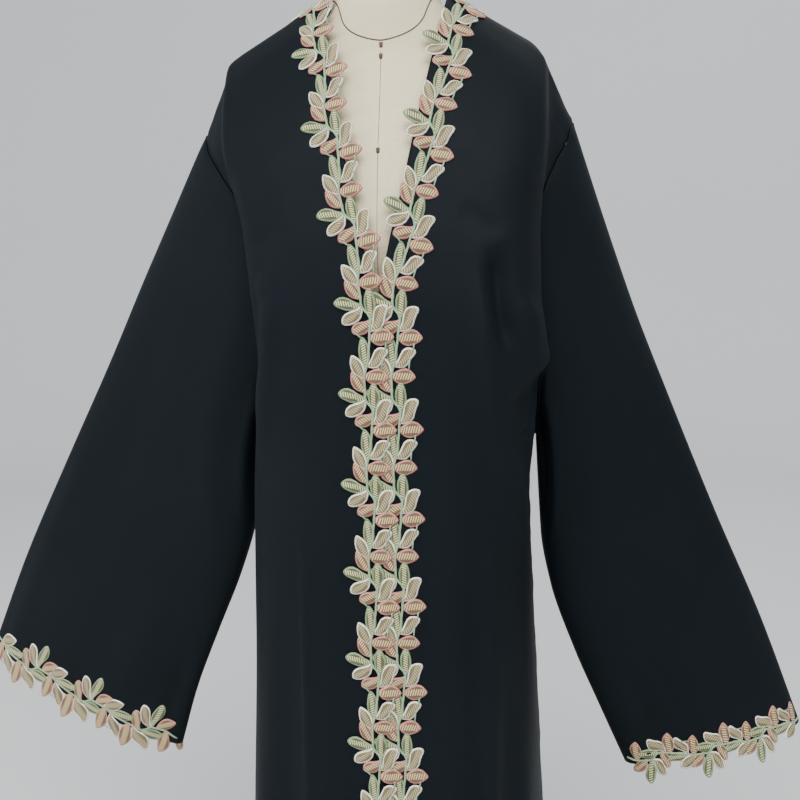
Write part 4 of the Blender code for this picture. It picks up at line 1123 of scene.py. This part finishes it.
def linen_material(look):
    """Plain-woven linen with slubs."""
    nodes = Nodes("form_linen")
    uv = nodes.place(uv=True)
    warp = nodes.wave(uv, LINEN_YARNS, "X", 0.6)
    weft = nodes.wave(uv, LINEN_YARNS, "Y", 0.6)
    slubs, uprights = (nodes.noise(nodes.stretch(uv, scale), 1.0) for scale in LINEN_SLUBS)
    weave = nodes.math("MULTIPLY", warp, weft)
    yarn = nodes.math("ADD", slubs, uprights)
    tone = nodes.math("MULTIPLY", nodes.math("ADD", weave, yarn), 0.5)
    colour = nodes.ramp(tone, [(0.30, shade(look.linen_colour, 0.80)),
                               (0.75, look.linen_colour)])
    height = nodes.math("ADD", weave, nodes.math("MULTIPLY", yarn, 0.6))
    nodes.set(Base_Color=colour, Roughness=0.86, Sheen_Weight=0.15,
              Normal=nodes.bump(height, LINEN_RISE, 0.7), Specular_IOR_Level=0.3)
    return nodes.material


def tape_material(look):
    """Brown tape over the seam at the base of the form's neck."""
    nodes = Nodes("form_tape")
    ribs = nodes.noise(nodes.place(), TAPE_RIBS)
    colour = nodes.ramp(ribs, [(0.3, shade(look.tape_colour, 0.7)),
                               (0.7, look.tape_colour)])
    nodes.set(Base_Color=colour, Roughness=0.7, Normal=nodes.bump(ribs, TAPE_RISE, 0.6))
    return nodes.material


def steel_material(look):
    """Satin steel, a little uneven."""
    nodes = Nodes("form_steel")
    spots = nodes.noise(nodes.place(), STEEL_SPOTS, 3.0)
    rough = nodes.math("ADD", nodes.math("MULTIPLY", spots, 0.16), 0.30)
    nodes.set(Base_Color=(*look.steel_colour, 1.0), Metallic=1.0, Roughness=rough,
              Normal=nodes.bump(spots, STEEL_RISE, 0.5))
    return nodes.material


def wood_material(look):
    """Turned wood under a satin lacquer."""
    nodes = Nodes("form_wood")
    grain = nodes.noise(nodes.stretch(nodes.place(), WOOD_GRAINS), 1.0, 4.0, 0.6)
    pores = nodes.noise(nodes.stretch(nodes.place(), WOOD_PORES), 1.0)
    colour = nodes.ramp(nodes.math("ADD", nodes.math("MULTIPLY", grain, 0.75),
                                   nodes.math("MULTIPLY", pores, 0.25)),
                        [(0.38, shade(look.wood_colour, 0.5)), (0.62, look.wood_colour)])
    nodes.set(Base_Color=colour, Roughness=0.42, Coat_Weight=0.25, Coat_Roughness=0.25,
              Normal=nodes.bump(pores, WOOD_RISE, 0.5))
    return nodes.material


def floor_material(look):
    """Painted floor and backdrop, a little uneven in tone."""
    nodes = Nodes("stage_grey")
    drift = nodes.noise(nodes.place(), FLOOR_TONES)
    tone = nodes.ramp(drift, [(0.0, shade(look.floor_colour, 0.97)),
                              (1.0, look.floor_colour)])
    nodes.set(Base_Color=tone, Roughness=0.9)
    return nodes.material


# ---- objects -------------------------------------------------------------------------
def object_of(name, mesh, materials):
    """An object in the scene with these materials."""
    item = bpy.data.objects.new(name, mesh)
    bpy.context.scene.collection.objects.link(item)
    for material in materials:
        mesh.materials.append(material)
    return item


def shade_smooth(mesh):
    """Smooth shading on every face."""
    mesh.polygons.foreach_set("use_smooth", [True] * len(mesh.polygons))


def mesh_of(work, name):
    """A smooth mesh from a bmesh, which is freed."""
    mesh = bpy.data.meshes.new(name)
    work.to_mesh(mesh)
    work.free()
    shade_smooth(mesh)
    return mesh


def on_stand(item):
    """Says that a piece moves with the whole."""
    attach(item, "root")


def sheet_of_points(name, grid, materials, closed=False):
    """An object from a grid of points, with a pattern in metres across and up."""
    rows, columns = grid.shape[0] - 1, grid.shape[1] - 1
    work = bmesh.new()
    bmesh.ops.create_grid(work, x_segments=columns, y_segments=rows, size=0.5)
    layer = work.loops.layers.uv.new("cut")
    across = np.zeros(grid.shape[:2])
    across[:, 1:] = np.cumsum(np.linalg.norm(np.diff(grid, axis=1), axis=2), axis=1)
    middle = grid[:, grid.shape[1] // 2]
    steps = np.linalg.norm(np.diff(middle, axis=0), axis=1)
    down = np.concatenate([[0.0], np.cumsum(steps)])
    index = {}
    for vert in work.verts:
        j = round((vert.co.x + 0.5) * columns)
        i = round((0.5 - vert.co.y) * rows)
        index[vert] = (i, j)
    for face in work.faces:
        for loop in face.loops:
            i, j = index[loop.vert]
            loop[layer].uv = (across[i, j], down[-1] - down[i])
    for vert, (i, j) in index.items():
        vert.co = Vector(grid[i, j])
    if closed:
        bmesh.ops.remove_doubles(work, verts=work.verts[:], dist=SAME_PLACE)
    return object_of(name, mesh_of(work, name), materials)


def faces_out(item, outward):
    """Turns a surface's faces so that most of them look outward."""
    mesh = item.data
    score = 0.0
    for face in mesh.polygons:
        score += np.dot(np.array(face.normal), outward(np.array(face.center))) * face.area
    if score < 0.0:
        mesh.flip_normals()


def add_wall(item, thickness):
    """Thickness, inward from the surface."""
    wall = item.modifiers.new("wall", "SOLIDIFY")
    wall.thickness = thickness
    wall.offset = -1.0


def cloth_piece(name, grid, outward, look, closed=False):
    """A piece of the crepe from a grid of points."""
    item = sheet_of_points(name, grid, [crepe_material(look)], closed)
    faces_out(item, outward)
    add_wall(item, look.wall)
    on_stand(item)
    return item


def front_lift(side, wall):
    """How high a front's lace lies, by its path: the right one lies over the left."""
    over = 0.0 if side > 0 else OVER_LIFT
    meeting = FRONT[MEETING][2] - FRONT[HEM][2]

    def lift(along):
        rise = float(smooth((along - meeting) / LIFT_RUN))
        return LIFT + wall + over * (1.0 - rise)
    return lift


def lace_materials(look):
    """The materials of a lace, in the order of CORDS."""
    fills = [fill_material(name, tuple(getattr(look, name + "_net")),
                           tuple(getattr(look, name + "_ladder")))
             for name in ("cream", "rose", "sage")]
    return fills + [cord_material(name, tuple(getattr(look, name + "_colour")))
                    for name in CORDS[len(fills):]]


def lace_piece(name, laces, look):
    """One object from several runs of lace."""
    mesh = bpy.data.meshes.new(name)
    points = []
    faces = []
    for lace in laces:
        first = len(points)
        points += lace.points
        faces += [([first + k for k in corners], part, uvs)
                  for corners, part, uvs in lace.faces]
    mesh.from_pydata(points, [], [corners for corners, _, _ in faces])
    mesh.uv_layers.new(name="cut")
    flat = [value for _, _, uvs in faces for pair in uvs for value in pair]
    mesh.uv_layers["cut"].data.foreach_set("uv", flat)
    item = object_of(name, mesh, lace_materials(look))
    mesh.polygons.foreach_set("material_index", [CORDS.index(part) for _, part, _ in faces])
    shade_smooth(mesh)
    mesh.update()
    add_wall(item, look.wall)
    on_stand(item)
    return item


def form_point(row, angle):
    """The point at an angle round a row of the form's table."""
    z, half_x, front, back, square = row
    c, s = math.cos(angle), math.sin(angle)
    x = half_x * math.copysign(abs(c) ** (2.0 / square), c)
    y = (back if s > 0.0 else -front) * math.copysign(abs(s) ** (2.0 / square), s)
    return x, y, z


def form_surface(rows, columns):
    """The form's closed body, row by row, as a grid whose ends meet."""
    angles = [2.0 * math.pi * (j % columns) / columns for j in range(columns + 1)]
    grid = []
    for i in range(rows + 1):
        row = level(FORM, (len(FORM) - 1) * i / rows)
        grid.append([form_point(row, angle) for angle in angles])
    return np.array(grid)


def form_place(angle, height):
    """The point of the form's surface at an angle round it and a height."""
    low, high = 0.0, float(len(FORM) - 1)
    for _ in range(HALVINGS):
        middle = (low + high) / 2.0
        row = level(FORM, middle)
        low, high = (middle, high) if row[0] < height else (low, middle)
    x, y, _ = form_point(row, angle)
    return np.array([x, y, height])


def neck_seam():
    """The closed line of the seam at the base of the form's neck."""
    side, front, back = NECK_SEAM
    line = []
    for k in range(SEAM_STEPS[0]):
        angle = 2.0 * math.pi * k / SEAM_STEPS[0]
        lean = -math.sin(angle)
        height = side + (front - side) * max(lean, 0.0) ** NECK_SEAM_POWER
        height += (back - side) * max(-lean, 0.0) ** NECK_SEAM_POWER
        line.append(form_place(angle, height))
    return line + line[:1]


def seam_lines():
    """Each seam and tack of the form: its line, and its half width."""
    low, high, half = CENTRE_SEAM
    steps = SEAM_STEPS[1]
    front = [form_place(IN_FRONT, low + (high - low) * k / steps) for k in range(steps + 1)]
    lines = [(neck_seam(), SEAM_CORD), (front, half)]
    for height in TACKS:
        middle = form_place(IN_FRONT, height)
        lines.append(([middle + [0, 0, -TACK[1]], middle, middle + [0, 0, TACK[1]]],
                      TACK[0]))
    return lines


def cord_object(name, line, radius, material, sides=8):
    """A thin cord along points, with closed ends or, when they meet, closed on itself."""
    looped = float(np.linalg.norm(line[0] - line[-1])) < SAME_PLACE
    points = line[:-1] if looped else line
    count = len(points)
    work = bmesh.new()
    rings = []
    for i, point in enumerate(points):
        before = points[i - 1] if looped or i > 0 else point
        after = points[(i + 1) % count] if looped or i < count - 1 else point
        run = unit(after - before)
        out = unit(np.array([point[0], point[1], 0.0]))
        out = unit(out - run * out.dot(run))
        aside = np.cross(run, out)
        angles = [2.0 * math.pi * k / sides for k in range(sides)]
        rings.append([work.verts.new(point + radius * (math.cos(a) * aside
                                                       + math.sin(a) * out * CORD_FLAT))
                      for a in angles])
    pairs = list(zip(rings, rings[1:])) + ([(rings[-1], rings[0])] if looped else [])
    for first, second in pairs:
        for k in range(sides):
            j = (k + 1) % sides
            work.faces.new((first[k], first[j], second[j], second[k]))
    if not looped:
        work.faces.new(rings[0])
        work.faces.new(rings[-1][::-1])
    bmesh.ops.recalc_face_normals(work, faces=work.faces[:])
    return object_of(name, mesh_of(work, name), [material])


def spun(profile, segments):
    """A bmesh turned round the upright axis from (radius, z) pairs."""
    work = bmesh.new()
    corners = [work.verts.new((radius, 0.0, z)) for radius, z in profile]
    for a, b in zip(corners, corners[1:]):
        work.edges.new((a, b))
    bmesh.ops.spin(work, geom=work.verts[:] + work.edges[:], cent=(0, 0, 0), axis=(0, 0, 1),
                   angle=2.0 * math.pi, steps=segments, use_merge=True)
    bmesh.ops.remove_doubles(work, verts=work.verts[:], dist=SAME_PLACE)
    return work


def turned_object(name, material, back=0.0):
    """A turned solid of the table, on an upright axis so far back."""
    outline, radius, segments = TURNED[name]
    work = spun(rounded(outline, radius), segments)
    bmesh.ops.recalc_face_normals(work, faces=work.faces[:])
    bmesh.ops.translate(work, verts=work.verts[:], vec=(0.0, back, 0.0))
    mesh = mesh_of(work, name)
    mesh.set_sharp_from_angle(angle=math.radians(SHARP_TURNED))
    item = object_of(name, mesh, [material])
    on_stand(item)
    return item


def rounded(profile, radius, steps=5):
    """A profile with its inner corners rounded."""
    result = [profile[0]]
    for before, here, after in zip(profile, profile[1:], profile[2:]):
        before, here, after = np.array(before), np.array(here), np.array(after)
        back, on = before - here, after - here
        shorter = min(np.linalg.norm(back), np.linalg.norm(on))
        reach = min(radius, shorter / ROUND_LIMIT)
        a, b = here + unit(back) * reach, here + unit(on) * reach
        for k in range(steps + 1):
            t = k / steps
            point = a * (1 - t) ** 2 + here * 2 * t * (1 - t) + b * t ** 2
            result.append(tuple(point))
    result.append(profile[-1])
    return result


# ---- settings ------------------------------------------------------------------------
def tint(name, description, default):
    """A colour setting."""
    return FloatVectorProperty(name=name, description=description, subtype="COLOR",
                               default=default)


class ClothSettings(PropertyGroup):
    """The crepe and its hems."""
    wall: FloatProperty(
        name="Wall", description="Thickness of the crepe", default=0.0012, min=0.0004,
        max=0.004, unit="LENGTH")
    hem_turn: FloatProperty(
        name="Hem turn", description="Height of the stitching above a hem or a cuff's edge",
        default=0.020, min=0.0, max=0.1, unit="LENGTH")
    stitch: FloatProperty(
        name="Stitch", description="Half the length of a hem's stitch and the gap after it",
        default=0.0022, min=0.0005, max=0.01, unit="LENGTH")
    crepe_colour: tint("Crepe colour", "Colour of the crepe", (0.0042, 0.0064, 0.0084))
    crepe_roughness: FloatProperty(
        name="Roughness", description="Roughness of the crepe", default=0.58, min=0.0,
        max=1.0)
    crepe_sheen: FloatProperty(
        name="Sheen", description="Soft sheen of the crepe's raised threads", default=0.012,
        min=0.0, max=1.0)


class LaceSettings(PropertyGroup):
    """The leaf lace."""
    wall: FloatProperty(
        name="Wall", description="Thickness of the lace's ground", default=0.0006,
        min=0.0002, max=0.002, unit="LENGTH")
    cream_colour: tint("Cream cord", "Colour of the off-white leaf borders",
                       (0.93, 0.87, 0.74))
    rose_colour: tint("Rose cord", "Colour of the dusty pink leaf borders",
                      (0.58, 0.235, 0.205))
    sage_colour: tint("Sage cord", "Colour of the sage green leaf borders",
                      (0.25, 0.37, 0.19))
    stem_colour: tint("Stem", "Colour of the stem and joining threads", (0.28, 0.41, 0.25))
    cream_net: tint("Cream leaf net", "Colour of an off-white leaf's net filling",
                    (0.19, 0.15, 0.068))
    rose_net: tint("Rose leaf net", "Colour of a pink leaf's net filling",
                   (0.18, 0.10, 0.050))
    sage_net: tint("Sage leaf net", "Colour of a green leaf's net filling",
                   (0.100, 0.108, 0.045))
    cream_ladder: tint("Cream leaf stitches", "Colour of the stitches up an off-white leaf",
                       (0.48, 0.41, 0.23))
    rose_ladder: tint("Rose leaf stitches", "Colour of the stitches up a pink leaf",
                      (0.72, 0.56, 0.27))
    sage_ladder: tint("Sage leaf stitches", "Colour of the stitches up a green leaf",
                      (0.66, 0.64, 0.33))


class FormSettings(PropertyGroup):
    """The dress form and its stand."""
    linen_colour: tint("Linen colour", "Colour of the form's cover", (0.80, 0.70, 0.47))
    tape_colour: tint("Tape colour", "Colour of the seam at the neck's base",
                      (0.10, 0.055, 0.035))
    steel_colour: tint("Steel colour", "Colour of the stand", (0.34, 0.34, 0.35))
    wood_colour: tint("Wood colour", "Colour of the neck cap", (0.22, 0.10, 0.045))


class StageSettings(PropertyGroup):
    """The floor, the backdrop and the lights."""
    floor_colour: tint("Floor colour", "Colour of the floor and the backdrop",
                       (0.70, 0.71, 0.72))
    key_power: FloatProperty(
        name="Key light", description="Power of the soft light above the front",
        default=215.0, min=0.0, unit="POWER")
    fill_power: FloatProperty(
        name="Fill light", description="Power of the soft light from the side",
        default=70.0, min=0.0, unit="POWER")
    world_strength: FloatProperty(
        name="Surroundings", description="Strength of the light from all round",
        default=0.75, min=0.0)


# ---- operators -----------------------------------------------------------------------
class ABAYA_OT_back(Operator):
    """Make the back, from the neck to the hem"""
    bl_idname = "abaya.back"
    bl_label = "Make the back"

    def execute(self, context):
        look = context.scene.abaya_cloth
        grid = back_grid()
        item = cloth_piece("cloth_back", grid, from_axis, look)
        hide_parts("back")
        return {"FINISHED"}


class ABAYA_OT_fronts(Operator):
    """Make the two fronts"""
    bl_idname = "abaya.fronts"
    bl_label = "Make the fronts"

    def execute(self, context):
        look = context.scene.abaya_cloth
        for side, name in ((-1, "right"), (1, "left")):
            grid = front_grid(side)
            item = cloth_piece("cloth_front_" + name, grid, from_axis, look)
            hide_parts("front_" + name)
        return {"FINISHED"}


class ABAYA_OT_sleeves(Operator):
    """Make the two wide sleeves"""
    bl_idname = "abaya.sleeves"
    bl_label = "Make the sleeves"

    def execute(self, context):
        look = context.scene.abaya_cloth
        for name in ("right", "left"):
            grid = sleeve_grid(name)
            item = cloth_piece("cloth_sleeve_" + name, grid,
                               lambda p: np.array([0, -p[1], 0]), look, closed=True)
            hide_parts("sleeve_" + name)
        return {"FINISHED"}


class ABAYA_OT_front_lace(Operator):
    """Lay the leaf lace up the fronts and round the neck"""
    bl_idname = "abaya.front_lace"
    bl_label = "Lay the front lace"

    def execute(self, context):
        look = context.scene.abaya_lace
        for side, name in ((-1, "right"), (1, "left")):
            guide = front_guide(side)
            lace = Lace(guide, LACE_SHIFT, REPEAT, front_lift(side, look.wall))
            end = (guide.length - LACE_SHIFT - LACE_END) / REPEAT
            lace.fill(LACE_START, end)
            item = lace_piece("lace_front_" + name, [lace], look)
            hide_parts("trim_front_" + name)
        return {"FINISHED"}


class ABAYA_OT_cuff_lace(Operator):
    """Lay the leaf lace round the cuffs"""
    bl_idname = "abaya.cuff_lace"
    bl_label = "Lay the cuff lace"

    def execute(self, context):
        look = context.scene.abaya_lace
        for name in ("right", "left"):
            guide = cuff_guide(name)
            half = CUFF_REPEATS / 2.0
            laces = []
            for first in (0.0, half):
                lace = Lace(guide, 0.0, guide.length / CUFF_REPEATS,
                            lambda along: LIFT + look.wall, CUFF_SPREAD, CUFF_LEAF)
                lace.fill(first + FOLD_GAP, first + half - FOLD_GAP)
                laces.append(lace)
            item = lace_piece("lace_cuff_" + name, laces, look)
            cuff = "trim_cuff_" + name
            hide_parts(cuff + "_front", cuff + "_back")
            area = sum(lace.flat_area() for lace in laces)
        return {"FINISHED"}


class ABAYA_OT_form(Operator):
    """Make the linen-covered form and its turned neck cap"""
    bl_idname = "abaya.form"
    bl_label = "Make the form"

    def execute(self, context):
        look = context.scene.abaya_form
        grid = form_surface(FORM_GRID[1], FORM_GRID[0])
        item = sheet_of_points("form_body", grid, [linen_material(look)], closed=True)
        work = bmesh.new()
        work.from_mesh(item.data)
        rims = [edge for edge in work.edges if edge.is_boundary]
        bmesh.ops.contextual_create(work, geom=rims)
        bmesh.ops.holes_fill(work, edges=[e for e in work.edges if e.is_boundary], sides=0)
        bmesh.ops.recalc_face_normals(work, faces=work.faces[:])
        work.to_mesh(item.data)
        work.free()
        shade_smooth(item.data)
        item.data.set_sharp_from_angle(angle=math.radians(SHARP_FORM))
        on_stand(item)
        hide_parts("form_torso")
        tape = tape_material(look)
        for number, (line, half) in enumerate(seam_lines()):
            seam = cord_object("form_seam_" + str(number), line, half, tape)
            on_stand(seam)
        middle = (FORM[-1][2] + FORM[-1][3]) / 2.0
        cap = turned_object("neck_cap", wood_material(look), middle)
        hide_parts("form_neck_cap")
        return {"FINISHED"}


class ABAYA_OT_stand(Operator):
    """Make the pole and the round base"""
    bl_idname = "abaya.stand"
    bl_label = "Make the stand"

    def execute(self, context):
        look = context.scene.abaya_form
        steel = steel_material(look)
        base = turned_object("stand_base", steel)
        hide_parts("form_base")
        pole = turned_object("stand_pole", steel)
        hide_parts("form_pole")
        return {"FINISHED"}


def add_area_light(name, place, aim, size, power):
    """A soft rectangular light that faces its aim."""
    light = bpy.data.lights.new(name, "AREA")
    light.shape = "RECTANGLE"
    light.size, light.size_y = size
    light.energy = power
    item = bpy.data.objects.new(name, light)
    bpy.context.scene.collection.objects.link(item)
    item.location = place
    item.rotation_euler = (Vector(aim) - Vector(place)).to_track_quat("-Z", "Y").to_euler()
    return item


def add_camera():
    """The camera of the main view."""
    data = bpy.data.cameras.new("stage_camera")
    data.lens = CAMERA_LENS
    data.sensor_width = SENSOR
    data.clip_start = CLIP_START
    camera = bpy.data.objects.new("stage_camera", data)
    bpy.context.scene.collection.objects.link(camera)
    camera.matrix_world = camera_matrix()
    return camera


def cove():
    """The stage's outline, out along the floor and up the backdrop: radius and height."""
    angles = [math.pi / 2.0 * k / COVE_STEPS[1] for k in range(COVE_STEPS[1] + 1)]
    bend = [(COVE_RADIUS + COVE_BEND * math.sin(a), COVE_BEND * (1.0 - math.cos(a)))
            for a in angles]
    return [(0.0, 0.0), *bend, (bend[-1][0], COVE_HEIGHT)]


class ABAYA_OT_stage(Operator):
    """Set up the floor, the backdrop, the lights and the camera"""
    bl_idname = "abaya.stage"
    bl_label = "Set up the stage"

    def execute(self, context):
        look = context.scene.abaya_stage
        ground = mesh_of(spun(cove(), COVE_STEPS[0]), "stage_floor")
        floor = object_of("stage_floor", ground, [floor_material(look)])
        lights = [add_area_light(name, place, aim, size, getattr(look, power))
                  for name, place, aim, size, power in LIGHTS]
        world = bpy.data.worlds.new("stage_world")
        world.use_nodes = True
        surroundings = world.node_tree.nodes["Background"]
        surroundings.inputs["Color"].default_value = (*look.floor_colour, 1.0)
        surroundings.inputs["Strength"].default_value = look.world_strength
        context.scene.world = world
        camera = add_camera()
        context.scene.camera = camera
        return {"FINISHED"}


def camera_matrix():
    """The view from slightly to the wearer's left, looking a little down."""
    c, s = math.cos(CAMERA_TURN), math.sin(CAMERA_TURN)
    flat = math.cos(CAMERA_DIP)
    back = Vector((s * flat, -c * flat, math.sin(CAMERA_DIP)))
    level_right = Vector((c, s, 0.0))
    upright = level_right.cross(-back)
    right = level_right * math.cos(CAMERA_ROLL) - upright * math.sin(CAMERA_ROLL)
    up = right.cross(-back)
    turn = Matrix((right, up, back)).transposed().to_4x4()
    return Matrix.Translation(CAMERA_PLACE) @ turn


class ABAYA_PT_panel(Panel):
    """Settings and steps of the abaya"""
    bl_label = "Abaya"
    bl_idname = "ABAYA_PT_panel"
    bl_space_type = "VIEW_3D"
    bl_region_type = "UI"
    bl_category = "Abaya"

    def draw(self, context):
        scene = context.scene
        for group in GROUPS:
            settings = getattr(scene, group)
            box = self.layout.box()
            for name in settings.bl_rna.properties.keys():
                if name not in ("rna_type", "name"):
                    box.prop(settings, name)
        for step in STEPS:
            self.layout.operator("abaya." + step)


STEPS = ["back", "fronts", "sleeves", "front_lace", "cuff_lace", "form", "stand", "stage"]
GROUPS = {"abaya_cloth": ClothSettings, "abaya_lace": LaceSettings,
          "abaya_form": FormSettings, "abaya_stage": StageSettings}
CLASSES = [*GROUPS.values(), ABAYA_OT_back, ABAYA_OT_fronts, ABAYA_OT_sleeves,
           ABAYA_OT_front_lace, ABAYA_OT_cuff_lace, ABAYA_OT_form, ABAYA_OT_stand,
           ABAYA_OT_stage, ABAYA_PT_panel]


def register():
    """Adds the settings, the steps and the panel."""
    for kind in CLASSES:
        bpy.utils.register_class(kind)
    for name, kind in GROUPS.items():
        setattr(bpy.types.Scene, name, PointerProperty(type=kind))


def unregister():
    """Takes them away again."""
    for name in GROUPS:
        delattr(bpy.types.Scene, name)
    for kind in reversed(CLASSES):
        bpy.utils.unregister_class(kind)


def main():
    """Makes every piece."""
    register()
    for step in STEPS:
        getattr(bpy.ops.abaya, step)()


if __name__ == "__main__":
    main()
